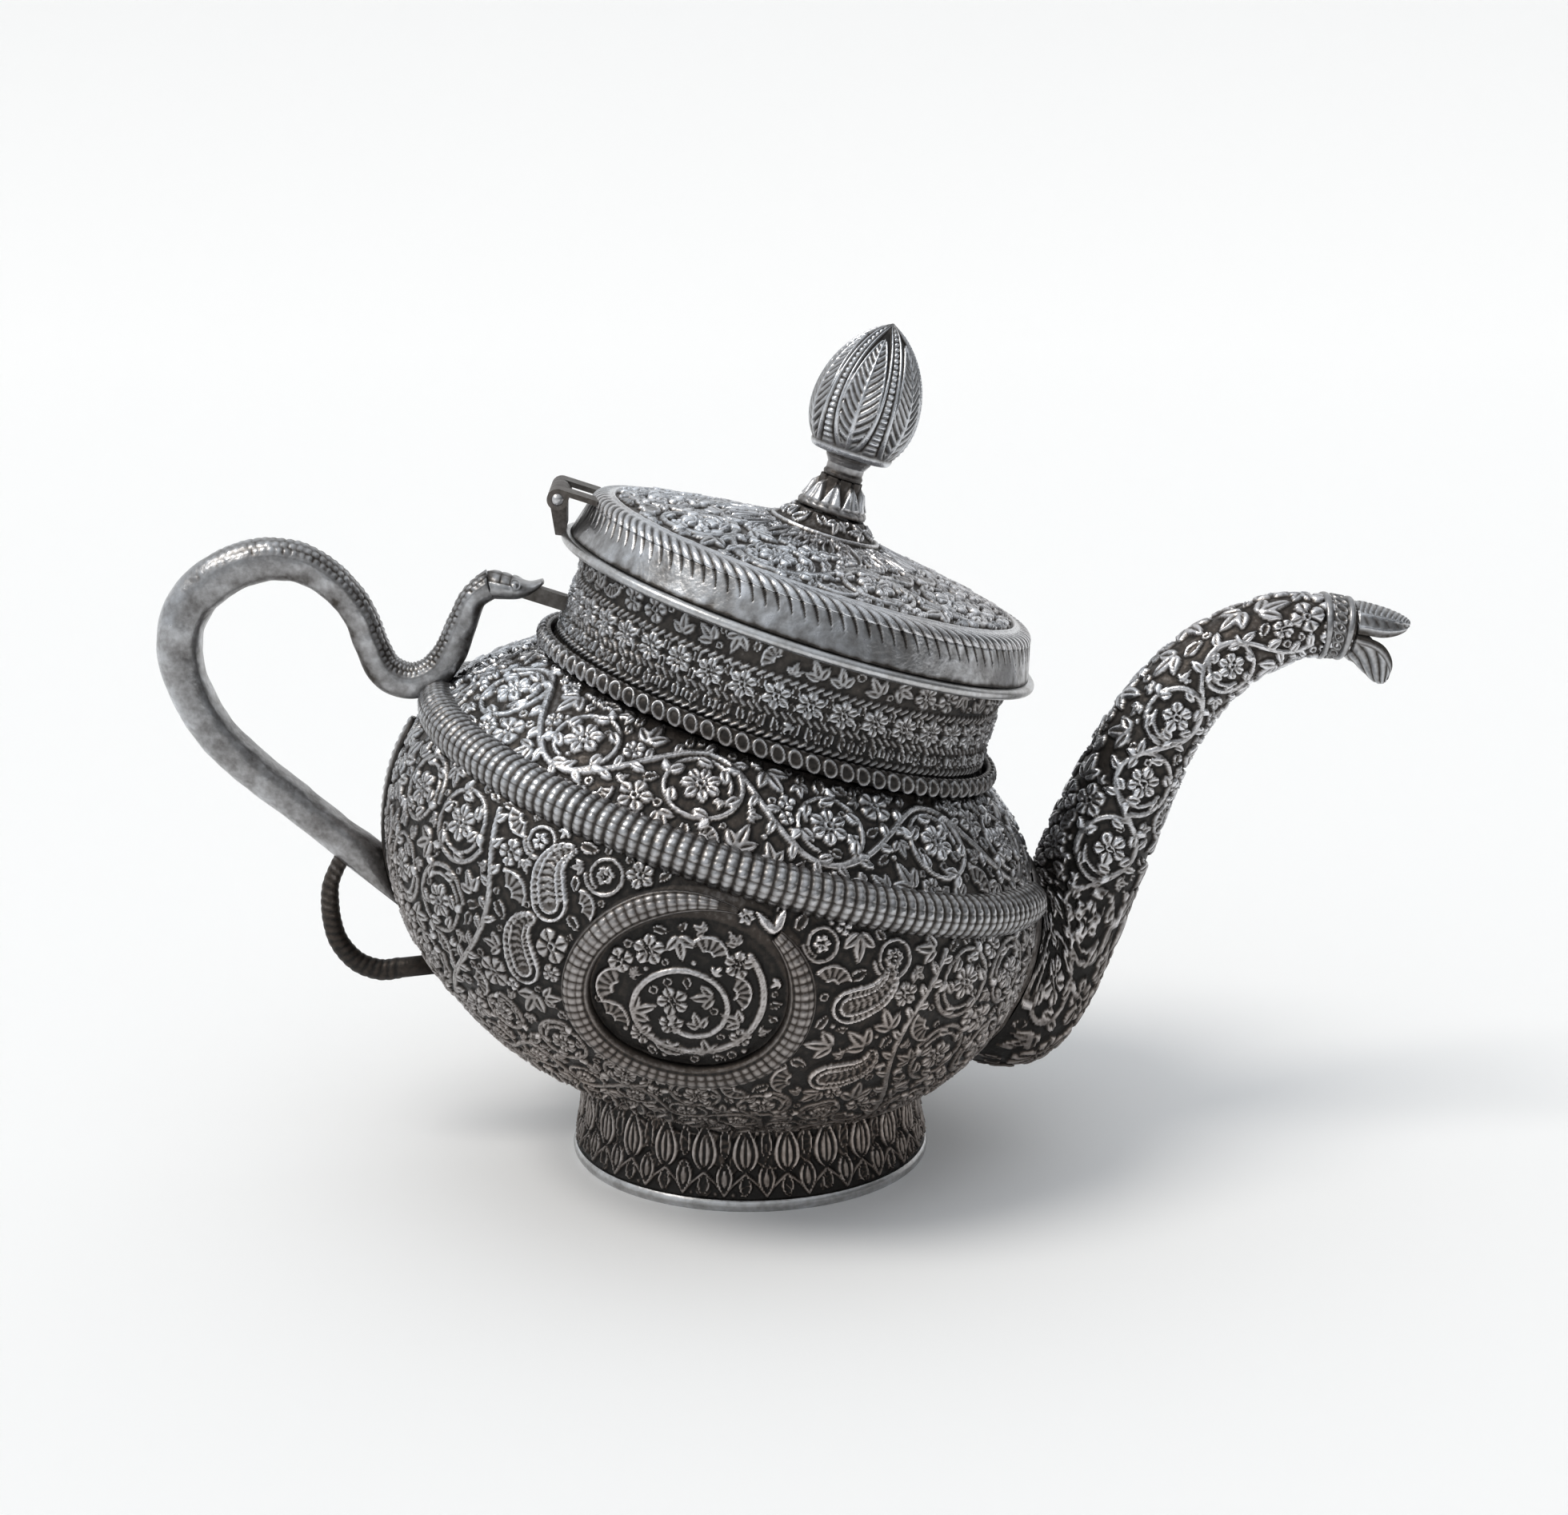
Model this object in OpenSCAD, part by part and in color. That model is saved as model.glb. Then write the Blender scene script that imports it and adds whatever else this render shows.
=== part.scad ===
// Serpent-handled silver pot with a hinged lid and an open-beaked spout.
// World frame: the foot stands on z = 0 about the origin, the spout points to +X.
// The bowl, neck and lid are turned about one axis that leans toward the spout.
// In the leaning frame u points to the spout, t runs up the axis, and t = 0 is the widest circle.

/* [Bowl] */
// Lean of the pot's axis toward the spout, in degrees
lean = 18.2; // [12:0.1:22]
// Radius at the widest circle
body_r = 68; // [56:0.5:82]
// Rise of the shoulder's crown above the widest circle
crown_rise = 46.3; // [44:0.1:50]
// Radius of the shoulder's side arc
shoulder_side_r = 35; // [30:0.5:38]
// Drop of the bowl's bottom below the widest circle
bowl_drop = 52.4; // [48:0.1:60]
// Radius of the bowl's side arc
bowl_side_r = 43.6; // [38:0.2:46]
// Thickness of the hammered sheet
sheet = 1.1; // [0.8:0.1:1.6]
// Height of the bowl's lowest point above the table
bowl_clear = 8.5; // [6:0.5:12]
// How far that lowest point lies in front of the foot's centre
bowl_forward = 2; // [0:0.5:5]

/* [Foot] */
// Outer radius of the foot where it stands
foot_r = 37.5; // [32:0.5:44]
// Outer radius of the foot at the bowl
foot_top_r = 35; // [30:0.5:40]
// Thickness of the wire under the foot
foot_wire_d = 3.2; // [2.4:0.1:4]
// Width of the flats filed on that wire
foot_wire_flat = 2.2; // [1.6:0.1:2.4]

/* [Neck and mouth] */
// Height of the mouth above the widest circle
rim_t = 56.5; // [52:0.5:66]
// Outer radius of the neck at its foot
neck_foot_r = 46.2; // [44:0.1:48]
// Outer radius of the neck at its waist
neck_waist_r = 44.6; // [43:0.1:46]
// Depth of the waist below the mouth
neck_waist_depth = 10; // [8:0.5:12]
// Outer radius of the mouth flange
flange_r = 50.1; // [49:0.1:53]
// Thickness of the mouth flange
flange_h = 2; // [1.4:0.1:3]
// Height of the ring of beads at the neck's foot
bead_ring_h = 4.4; // [3:0.2:6]
// Depth of the ring of beads beyond the neck
bead_ring_depth = 2.9; // [2:0.1:4]

/* [Serpent band] */
// Height of the band's centre line above the widest circle
band_t = 15.9; // [12:0.1:18]
// Width of the band
band_w = 8.6; // [6:0.2:10]
// How far the band stands proud of the shoulder
band_proud = 3.4; // [2:0.1:4]

/* [Medallions] */
// Half width of the ring that each medallion serpent bends into
medal_a = 21; // [16:0.5:24]
// Half height of that ring
medal_b = 18.4; // [14:0.1:19]
// Distance of its centre below the widest circle, along the wall
medal_drop = 9; // [8:0.5:14]
// Half width of the serpent's body
medal_wire = 2.6; // [2.2:0.1:3.5]
// Height of the serpent's body
medal_proud = 2.1; // [1.4:0.1:3]

/* [Spout] */
// Half height of the spout's root on the bowl, along the wall
root_a = 21.5; // [18:0.5:24]
// Half width of the spout's root on the bowl
root_b = 13; // [11:0.5:15]
// Distance of the root's centre below the widest circle, along the wall
root_drop = 4.6; // [3:0.2:7]
// Thickness of the spout's wall
spout_wall = 1.2; // [0.9:0.1:1.5]
// Margin of the saddle plate around the root
saddle_margin = 4.4; // [3:0.2:6]
// Diameter of a strainer hole
strainer_d = 3.2; // [2.4:0.1:3.6]
// Spacing of the strainer holes
strainer_pitch = 5.2; // [4.6:0.1:6]

/* [Handle] */
// Half thickness of the serpent in the loop, which its other stations follow
handle_half = 4.5; // [3.8:0.1:5.4]
// Half width of the serpent from side to side
handle_side = 4.6; // [3.8:0.1:5.4]
// Thickness of the plate between handle and bowl
escutcheon_h = 1.5; // [1:0.1:2]
// Half width of that plate
escutcheon_half = 6.5; // [5:0.5:8]
// Thickness of the square peg in the serpent's mouth
peg_t = 3; // [2.4:0.1:3.6]

/* [Lid] */
// Outer radius of the lid
lid_r = 48.5; // [46:0.1:50]
// Height of the lid's plain side band
lid_band_h = 7; // [5:0.5:9]
// How far that band draws in toward its top
lid_taper = 2; // [0.5:0.1:3]
// Thickness of the lid's sheet
lid_sheet = 1; // [0.8:0.1:1.4]
// Radius of the flat on top of the lid's cone
lid_top_r = 7.2; // [6.8:0.1:8]
// Depth of the bezel that drops into the neck
bezel_depth = 6; // [4:0.5:8]
// Gap between the bezel and the neck's wall
bezel_gap = 1.1; // [0.9:0.1:1.6]

/* [Hinge] */
// Distance of the hinge pin behind the lid's outer radius
hinge_back = 4.2; // [3.6:0.1:6]
// Height of the hinge pin above the mouth
hinge_h = 6.4; // [5:0.1:7]
// Outer radius of a hinge knuckle
knuckle_r = 2.1; // [1.9:0.1:2.6]
// Radius of the hinge pin
pin_r = 1.15; // [0.9:0.05:1.3]
// Length of the hinge across its three knuckles
hinge_w = 22; // [18:1:28]
// Length of the middle knuckle, on the pot
pot_knuckle_w = 9; // [7:0.5:12]

/* [Finial] */
// Radius of the bud at its widest
bud_r = 10.8; // [9:0.1:12]
// Height of the bud
bud_h = 27.4; // [24:0.2:30]
// Radius of the stem under the bud
stem_r = 4.1; // [3.6:0.1:5]
// Height of the stem
stem_h = 4.6; // [3:0.2:7]
// Height of the leafy collar under the stem
calyx_h = 7; // [5:0.2:9]
// Radius of the stud that ties the finial to the lid
stud_r = 1.5; // [1.2:0.1:1.8]

/* [Clearances] */
// Gap of a soldered seat on a curved wall
seat = 0.1; // [0.05:0.05:0.2]
// Gap left for solder beside a raised edge
solder_gap = 0.3; // [0.2:0.1:0.5]
// Gap between the lid and the mouth flange
lid_gap = 0.15; // [0.1:0.05:0.3]
// Radial clearance of the pin in its knuckles
pin_fit = 0.05; // [0.02:0.01:0.08]
// Gap between neighbouring knuckles
knuckle_gap = 0.25; // [0.2:0.05:0.4]
// Radial clearance of the stud in the finial
stud_fit = 0.05; // [0.02:0.01:0.08]

/* [Hidden] */
$fn = 96;
silver = "#8d8c89";
worn = "#b4b3af";
shade = "#6f6a64";
far = 200;

// ---- the oval outline: a side arc and a crown arc, tangent to each other, in each half ----
function arc_k(side, rise) =
    (pow(body_r - side, 2) - pow(rise - side, 2)) / (2 * (rise - side));
up_k = arc_k(shoulder_side_r, crown_rise);
up_R = crown_rise + up_k;
up_join = atan2(up_k, body_r - shoulder_side_r);
low_k = arc_k(bowl_side_r, bowl_drop);
low_R = bowl_drop + low_k;
low_join = atan2(low_k, body_r - bowl_side_r);
bowl_x = bowl_forward - low_k * sin(lean);
bowl_z = bowl_clear + low_R - low_k * cos(lean);

module leaning() translate([bowl_x, 0, bowl_z]) rotate([0, lean, 0]) children();
module at_rim() leaning() translate([0, 0, rim_t]) children();

// Point of the outline at arc length s from the widest circle, moved out by off: [radius, t].
function half_outline(side, k, R, join, s, off) =
    let (a = s / side * 180 / PI)
    a <= join
        ? [body_r - side + (side + off) * cos(a), (side + off) * sin(a)]
        : let (b = join + (s - side * join * PI / 180) / R * 180 / PI)
          [(R + off) * cos(b), (R + off) * sin(b) - k];
function outline(s, off = 0) =
    s >= 0
        ? half_outline(shoulder_side_r, up_k, up_R, up_join, s, off)
        : let (p = half_outline(bowl_side_r, low_k, low_R, low_join, -s, off)) [p[0], -p[1]];
// Point of the wall at angle phi and arc length s, moved out by off.
function wall_at(phi, s, off = 0) =
    let (p = outline(s, off)) [p[0] * cos(phi), p[0] * sin(phi), p[1]];
// The same with the position across given as a length a from the angle phi0.
function wrap(phi0, a, s, off) =
    let (r = outline(s)[0]) wall_at(phi0 + a / r * 180 / PI, s, off);
// Distance of a point outside the wall.
function half_gap(side, k, R, join, r, h) =
    atan2(h, r - (body_r - side)) <= join
        ? norm([r - (body_r - side), h]) - side
        : norm([r, h + k]) - R;
function wall_gap(p) =
    let (r = norm([p[0], p[1]]))
    p[2] >= 0
        ? half_gap(shoulder_side_r, up_k, up_R, up_join, r, p[2])
        : half_gap(bowl_side_r, low_k, low_R, low_join, r, -p[2]);
// Where the line from p along d comes to off outside the wall, found by halving the reach.
function land(p, d, off, lo = 0, hi = 24, n = 18) =
    let (m = (lo + hi) / 2)
    n == 0 ? p + d * m
        : wall_gap(p + d * m) > off ? land(p, d, off, m, hi, n - 1) : land(p, d, off, lo, m, n - 1);

// Region inside the outline moved out by g.
module half_oval(side, k, R, join, g) {
    intersection() {
        translate([body_r - side, 0]) circle(side + g);
        polygon([[body_r - side, 0], [far, 0], [far, far * tan(join)], [body_r - side, 0]
            + far * [cos(join), sin(join)]]);
    }
    intersection() {
        translate([0, -k]) circle(R + g);
        polygon([[0, 0], [body_r - side, 0], [body_r - side, 0] + far * [cos(join), sin(join)],
            [0, far * 1.5]]);
    }
}
module oval(g = 0) {
    half_oval(shoulder_side_r, up_k, up_R, up_join, g);
    mirror([0, 1]) half_oval(bowl_side_r, low_k, low_R, low_join, g);
}
module oval_sheet(t0, t1) {
    intersection() {
        difference() {
            oval(0);
            oval(-sheet);
        }
        translate([0, t0]) square([far, t1 - t0]);
    }
}
// The ball whose skin is the bowl's bottom.
module bottom_ball() leaning() translate([0, 0, low_k]) sphere(low_R, $fn = 200);

// ---- skins over rings of points ----
// Two triangles for each cell between ring a and ring b, which hold n points each.
function strip(a, b, n) = [for (j = [0:n - 1]) let (k = (j + 1) % n)
    each [[a + j, b + j, b + k], [a + j, b + k, a + k]]];
// A ladder of triangles that closes a ring of n points, n even.
function cap(a, n, flip) = [for (i = [0:n / 2 - 2]) let (q = a + n - 1 - i)
    each (flip
        ? [[a + i, a + i + 1, q], [a + i + 1, q - 1, q]]
        : [[a + i, q, a + i + 1], [a + i + 1, q, q - 1]])];
module solid_skin(rings) {
    n = len(rings[0]);
    last = len(rings) - 1;
    polyhedron(
        points = [for (r = rings) each r],
        faces = concat(
            cap(0, n, true),
            [for (i = [0:last - 1]) each strip(i * n, (i + 1) * n, n)],
            cap(last * n, n, false)),
        convexity = 8);
}
// A skin that closes on itself, such as a pipe: out along the outside and back along the inside.
module loop_skin(rings) {
    n = len(rings[0]);
    m = len(rings);
    polyhedron(
        points = [for (r = rings) each r],
        faces = [for (i = [0:m - 1]) each strip(i * n, (i + 1) % m * n, n)],
        convexity = 8);
}
function reversed(v) = [for (i = [len(v) - 1:-1:0]) v[i]];

// ---- sweeps in the plane y = 0 of the leaning frame ----
// A smooth curve through the stations, each [u, t, half thickness, half width].
function bend(a, b, c, d, x) =
    0.5 * (2 * b + (c - a) * x + (2 * a - 5 * b + 4 * c - d) * x * x
        + (3 * b - a - 3 * c + d) * x * x * x);
function smooth(s, steps) =
    let (m = len(s) - 1)
    [for (i = [0:m - 1]) for (j = [0:steps - 1])
        bend(i > 0 ? s[i - 1] : 2 * s[0] - s[1], s[i], s[i + 1],
            i < m - 1 ? s[i + 2] : 2 * s[m] - s[m - 1], j / steps),
     s[m]];
function heading(c, i) =
    let (a = c[max(i - 1, 0)], b = c[min(i + 1, len(c) - 1)], d = [b[0] - a[0], b[1] - a[1]])
    d / norm(d);
// Ring across a sweep: round on its back, squarer on its belly when square > 2.
function power(x, e) = sign(x) * pow(abs(x), 2 / e);
function ring(c, d, n, square = 2, grow = 0) = [for (j = [0:n - 1])
    let (w = 360 * (j + 0.5) / n, e = sin(w) >= 0 ? 2 : square,
        up = power(sin(w), e) * (c[2] + grow), side = power(cos(w), e) * (c[3] + grow))
    [c[0] - d[1] * up, side, c[1] + d[0] * up]];
function sweep(c, n, square = 2, grow = 0) =
    [for (i = [0:len(c) - 1]) ring(c[i], heading(c, i), n, square, grow)];

// ---- foot ----
foot_wire_r = foot_r - foot_wire_d / 2;
foot_wire_h = sqrt(pow(foot_wire_d, 2) - pow(foot_wire_flat, 2));
foot_wall_r = foot_wire_r + foot_wire_flat / 2;

module foot_base_wire() color(worn)
    rotate_extrude() translate([foot_wire_r, foot_wire_h / 2]) intersection() {
        circle(d = foot_wire_d, $fn = 32);
        square([foot_wire_d * 2, foot_wire_h], center = true);
    }

// The wall leans in from the wire to the bowl in one hollow curve, and its top is scribed to the bowl.
foot_rise = bowl_clear + 12;
foot_chord = norm([foot_wall_r - foot_top_r, foot_rise]);
foot_curve_r = 60;
foot_mid = [(foot_wall_r + foot_top_r) / 2, foot_wire_h + foot_rise / 2];
foot_out = [foot_rise, foot_wall_r - foot_top_r] / foot_chord;
foot_centre = foot_mid + foot_out * sqrt(pow(foot_curve_r, 2) - pow(foot_chord / 2, 2));
module foot_ring() color(shade) difference() {
    rotate_extrude() intersection() {
        difference() {
            translate(foot_centre) circle(foot_curve_r + sheet, $fn = 160);
            translate(foot_centre) circle(foot_curve_r, $fn = 160);
        }
        translate([foot_top_r - 3 * sheet, foot_wire_h]) square([foot_r, foot_rise]);
    }
    bottom_ball();
}

// ---- bowl and shoulder ----
module strainer_holes() for (i = [-3:3], j = [-2:2]) {
    a = (j + (abs(i) % 2) / 2) * strainer_pitch;
    s = i * strainer_pitch * 0.87;
    inside = pow(a / (root_b - spout_wall - strainer_d * 0.8), 2)
        + pow(s / (root_a - spout_wall - strainer_d), 2);
    if (inside < 1)
        translate([0, a, outline(s - root_drop)[1]]) rotate([0, 90, 0])
            cylinder(d = strainer_d, h = body_r * 1.2, $fn = 24);
}
module bowl() color(silver) leaning() difference() {
    rotate_extrude() oval_sheet(-bowl_drop - 1, band_t);
    strainer_holes();
}
neck_foot_t = sqrt(pow(up_R, 2) - pow(neck_foot_r, 2)) - up_k;
module shoulder() color(silver) leaning() rotate_extrude() oval_sheet(band_t, neck_foot_t);

band_s = asin(band_t / shoulder_side_r) * PI / 180 * shoulder_side_r;
band_R = (pow(band_w / 2, 2) + pow(band_proud, 2)) / (2 * band_proud);
module band_section(g) translate(outline(band_s, band_proud - band_R)) circle(band_R + g, $fn = 48);
// The band breaks at the spout, where it stops short of the saddle.
band_low_s = band_s - band_w / 2;
band_stop = solder_gap + (root_b + saddle_margin)
    * sqrt(1 - pow((band_low_s + root_drop) / (root_a + saddle_margin), 2));
band_break = band_stop / outline(band_low_s)[0] * 180 / PI;
module serpent_band() color(worn) leaning() difference() {
    rotate_extrude() difference() {
        band_section(0);
        oval(0);
        square([body_r - shoulder_side_r, far]);
    }
    linear_extrude(height = far) polygon([[0, 0], far * [cos(band_break), -sin(band_break)],
        far * [cos(band_break), sin(band_break)]]);
}

// ---- neck and mouth ----
neck_waist_t = rim_t - neck_waist_depth;
neck_sag = neck_foot_r - neck_waist_r;
neck_R = (pow(neck_waist_t - neck_foot_t, 2) + pow(neck_sag, 2)) / (2 * neck_sag);
neck_top_r = neck_waist_r + neck_R
    - sqrt(pow(neck_R, 2) - pow(rim_t - flange_h - neck_waist_t, 2));
mouth_r = neck_top_r - sheet;

module neck_region(g) difference() {
    translate([0, neck_foot_t]) square([neck_waist_r + neck_R / 2, rim_t - flange_h - neck_foot_t]);
    translate([neck_waist_r + neck_R, neck_waist_t]) circle(neck_R - g, $fn = 200);
}
module neck_collar() color(shade) leaning() rotate_extrude() difference() {
    neck_region(0);
    neck_region(-sheet);
}
module bead_ring() color(worn) leaning() rotate_extrude() difference() {
    translate([neck_foot_r + bead_ring_depth - bead_ring_h / 2, neck_foot_t + bead_ring_h * 0.45])
        circle(d = bead_ring_h, $fn = 40);
    neck_region(0);
    oval(0);
}
module mouth_flange() color(worn) at_rim() rotate_extrude() {
    translate([mouth_r, -flange_h]) square([flange_r - flange_h / 2 - mouth_r, flange_h]);
    translate([flange_r - flange_h / 2, -flange_h / 2]) circle(d = flange_h, $fn = 32);
}

// ---- medallion serpents: a half-round wire bent into a ring, lying on the bowl ----
medal_from = 40;
medal_turn = 336;
medal_steps = 54;
medal_round = [-1, -0.8, -0.4, 0, 0.4, 0.8, 1];
// Fatness along the serpent: a small blunt head, an even body and a long thin tail.
function fatness(x) = x < 0.15 ? 0.5 + 0.5 * sin(x / 0.15 * 90)
    : x < 0.84 ? 1
    : 0.1 + 0.9 * cos((x - 0.84) / 0.16 * 84);
// The ring stands upright beside the leaning axis, so it is turned back by the lean.
function medal_path(x) =
    let (w = medal_from - medal_turn * x, p = [medal_a * cos(w), medal_b * sin(w)])
    [p[0] * cos(lean) - p[1] * sin(lean), p[0] * sin(lean) + p[1] * cos(lean) - medal_drop];
function medal_ring(phi0, x, hand) =
    let (p = medal_path(x), d = medal_path(x + 0.002) - medal_path(x - 0.002),
        n = [-d[1], d[0]] / norm(d), f = fatness(x))
    concat(
        [for (v = medal_round) wrap(phi0, hand * (p[0] + n[0] * v * medal_wire * f),
            p[1] + n[1] * v * medal_wire * f, seat + 0.35 + medal_proud * f * sqrt(1.0001 - v * v))],
        [for (v = reversed(medal_round)) wrap(phi0, hand * (p[0] + n[0] * v * medal_wire * f),
            p[1] + n[1] * v * medal_wire * f, seat)]);
function medal_rings(phi0, hand) = [for (i = [0:medal_steps]) medal_ring(phi0, i / medal_steps, hand)];
module medallion_serpent_front() color(worn) leaning() solid_skin(medal_rings(267, 1));
module medallion_serpent_back() color(worn) leaning() solid_skin(reversed(medal_rings(93, -1)));

// ---- spout ----
spout_n = 28;
root_steps = 9;
saddle_h = 1.2;
corner = 0.82;
// Stations of the spout above its root: position from the bowl's widest point, half sizes.
spout_path = [
    [6.7, 20.6, 10.9, 10.9], [7, 30, 10.8, 10.8], [8, 42.5, 10, 10.2], [9.4, 53, 9.5, 9.8],
    [12.2, 62.3, 8.8, 9.2], [15.6, 69.3, 8.4, 8.6], [20.3, 75.4, 7.7, 8], [26.3, 80.6, 7.1, 7.4],
    [31.3, 83.3, 6.4, 6.6], [36.2, 84.8, 6, 6.2], [40.6, 85.5, 5.75, 5.9]
];
function on_bowl(s) = [for (p = s) [body_r + p[0], p[1], p[2], p[3]]];
spout_curve = smooth(on_bowl(spout_path), 3);
// Outline of the root on the wall, turned like the rings of a sweep.
function root_ring(margin, off) = [for (j = [0:spout_n - 1]) let (w = 360 * (j + 0.5) / spout_n)
    wrap(0, (root_b + margin) * cos(w), -(root_a + margin) * sin(-w) - root_drop, off)];
// The first ring of the sweep lies level, with its back to the axis.
function level_ring(c, grow) = [for (j = [0:spout_n - 1]) let (w = 360 * (j + 0.5) / spout_n)
    [c[0] - (c[2] + grow) * sin(w), (c[3] + grow) * cos(w), c[1]]];
// Each line of the root leaves the wall level, rounds a tight corner and ends upright.
function root_line(p, q, x) =
    let (a = [p[0] + corner * (q[0] - p[0]), p[1] + (q[1] - p[1]) * 0.2, p[2]],
        b = [q[0], q[1], q[2] - corner * (q[2] - p[2])], y = 1 - x)
    y * y * y * p + 3 * y * y * x * a + 3 * y * x * x * b + x * x * x * q;
// A point nearer the wall than off is pushed out, away from the axis.
function kept_off(p, off) =
    p + max(0, off - wall_gap(p)) * 1.2 * [p[0], p[1], 0] / norm([p[0], p[1]]);
function root_rings(grow, off) =
    let (p = root_ring(grow, off), q = level_ring(spout_curve[0], grow))
    [for (i = [0:root_steps - 1]) [for (j = [0:spout_n - 1])
        kept_off(root_line(p[j], q[j], i / root_steps), off + (i > 0 ? seat : 0))]];
function spout_rings(grow, off) = concat(
    root_rings(grow, off), [level_ring(spout_curve[0], grow)],
    [for (i = [1:len(spout_curve) - 1])
        ring(spout_curve[i], heading(spout_curve, i), spout_n, 2, grow)]);

module spout_saddle() color(shade) leaning() loop_skin([
    root_ring(-spout_wall, seat), root_ring(-spout_wall, seat + saddle_h),
    root_ring(saddle_margin * 0.6, seat + saddle_h),
    root_ring(saddle_margin, seat + saddle_h / 2), root_ring(saddle_margin, seat),
    root_ring(saddle_margin * 0.5, seat)]);
module spout_tube() color(silver) leaning() loop_skin(concat(
    spout_rings(0, 2 * seat + saddle_h), reversed(spout_rings(-spout_wall, 2 * seat + saddle_h))));

// The collar's profile along the spout's last stretch: [stations back from the end, height].
collar_profile = [
    [6.3, 0.4], [6, 0.8], [5.2, 0.8], [4.9, 0.5], [2.3, 0.5], [2, 0.8], [0.9, 0.8], [0.6, 0.4]
];
spout_end = on_bowl([for (i = [4:-1:1]) spout_path[len(spout_path) - i]]);
beak_u = spout_end[3][0];
beak_t = spout_end[3][1];
collar_fit = 2 * seat;
last_run = norm(spout_end[3] - spout_end[2]);
function before_end(back) = back < last_run
    ? bend(spout_end[1], spout_end[2], spout_end[3], 2 * spout_end[3] - spout_end[2],
        1 - back / last_run)
    : bend(spout_end[0], spout_end[1], spout_end[2], spout_end[3],
        1 - (back - last_run) / norm(spout_end[2] - spout_end[1]));
function collar_ring(back, h) =
    ring(before_end(back), heading([before_end(back + 0.3), before_end(back - 0.3)], 0), spout_n, 2, h);
module spout_collar() color(worn) leaning() loop_skin(concat(
    [for (p = collar_profile) collar_ring(p[0], collar_fit + p[1])],
    [for (back = [collar_profile[7][0], collar_profile[0][0]]) collar_ring(back, collar_fit)]));

// ---- the open beak: two tapering shells, each [edge, crest, half width] from root to tip ----
jaw_n = 9;
jaw_wall = 1.1;
upper_jaw = [
    [[0.3, 0.2], [-0.7, 6.1], 6.2], [[3, 0.5], [2.2, 6.3], 5.9], [[5.8, 0.9], [5.7, 6.4], 5.2],
    [[8.5, 1.9], [8.8, 6.2], 4], [[10.6, 3.1], [10.9, 5.7], 2.2], [[11.4, 4.1], [11.6, 5.2], 1.1]
];
lower_jaw = [
    [[0.3, -0.2], [1.2, -5.9], 6.2], [[3.6, 0], [3.2, -6.1], 6.2], [[6.3, -0.5], [5.6, -7.2], 5.9],
    [[8.7, -2.2], [7.6, -8.1], 5.2], [[10.2, -4.2], [9.3, -8.7], 4], [[10.9, -6.6], [10.6, -8.5], 2.2]
];
// A half ellipse from one edge over the crest to the other, and back along the inside.
function jaw_row(s, w) = [for (j = [0:jaw_n - 1]) let (a = 180 * j / (jaw_n - 1),
        e = s[0], c = s[1] - s[0], k = 1 - w / max(norm(c), s[2]))
    [beak_u + 0.15 + e[0] + c[0] * sin(a) * k, s[2] * cos(a) * k, beak_t + e[1] + c[1] * sin(a) * k]];
function jaw_rings(s) = [for (p = s)
    concat(jaw_row(p, 0), reversed(jaw_row(p, min(jaw_wall, p[2] * 0.5))))];
module spout_upper_jaw() color(worn) leaning() solid_skin(reversed(jaw_rings(upper_jaw)));
module spout_lower_jaw() color(silver) leaning() solid_skin(jaw_rings(lower_jaw));

// ---- handle: a serpent whose tail end lands on the bowl and whose mouth holds a peg in the neck ----
// Stations from the tail end to the neck of the serpent, from the bowl's widest point:
// [u, t, share of the half thickness, share of the half width].
handle_path = [
    [-2.6, -20.2, 0.84, 0.95], [-10, -17.2, 0.8, 0.95], [-18.3, -13.8, 0.82, 0.95],
    [-27.2, -10.2, 0.86, 0.97], [-36, -5.5, 0.88, 1], [-43.2, 1.2, 0.9, 1], [-47.6, 8.2, 0.98, 1],
    [-48.9, 15.6, 1, 1], [-46.8, 22.7, 1.02, 1], [-41.6, 28.9, 1, 1], [-35.3, 32.7, 0.94, 1],
    [-28.6, 33.7, 0.85, 0.96], [-21.8, 31.6, 0.76, 0.9], [-16, 27.6, 0.74, 0.86],
    [-11.6, 22, 0.74, 0.84], [-7.6, 17.9, 0.78, 0.84], [-2.5, 17.2, 0.8, 0.84],
    [1.6, 20, 0.78, 0.82], [3.7, 25.2, 0.74, 0.8], [4.3, 31.3, 0.68, 0.78],
    [4.9, 37, 0.61, 0.8], [7.3, 41, 0.64, 0.9]
];
// The head follows on and ends in the curled lip.
head_path = [
    [7.55, 41.15, 0.64, 0.9], [10.2, 41.6, 0.58, 1.06], [13.2, 42, 0.44, 1],
    [15.4, 43, 0.25, 0.76], [17.3, 44.8, 0.11, 0.5]
];
tail_path = [
    [-5.5, -25, 0.34, 0.36], [-5.8, -28, 0.36, 0.38], [-5.2, -31.6, 0.4, 0.4],
    [-3.4, -36.3, 0.42, 0.42], [-0.6, -40.4, 0.44, 0.44], [4, -43.3, 0.46, 0.44],
    [9, -43.6, 0.48, 0.44], [13, -41.9, 0.48, 0.44]
];
function beside_bowl(s) = [for (p = s) [p[0] - body_r, p[1], p[2] * handle_half, p[3] * handle_side]];
// A ring moved along d until it lies off outside the wall.
function landed(r, d, off) = [for (p = r) land(p, [d[0], 0, d[1]], off)];

handle_n = 16;
handle_square = 3.2;
handle_curve = smooth(beside_bowl(handle_path), 3);
handle_off = 2 * seat + escutcheon_h;
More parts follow.
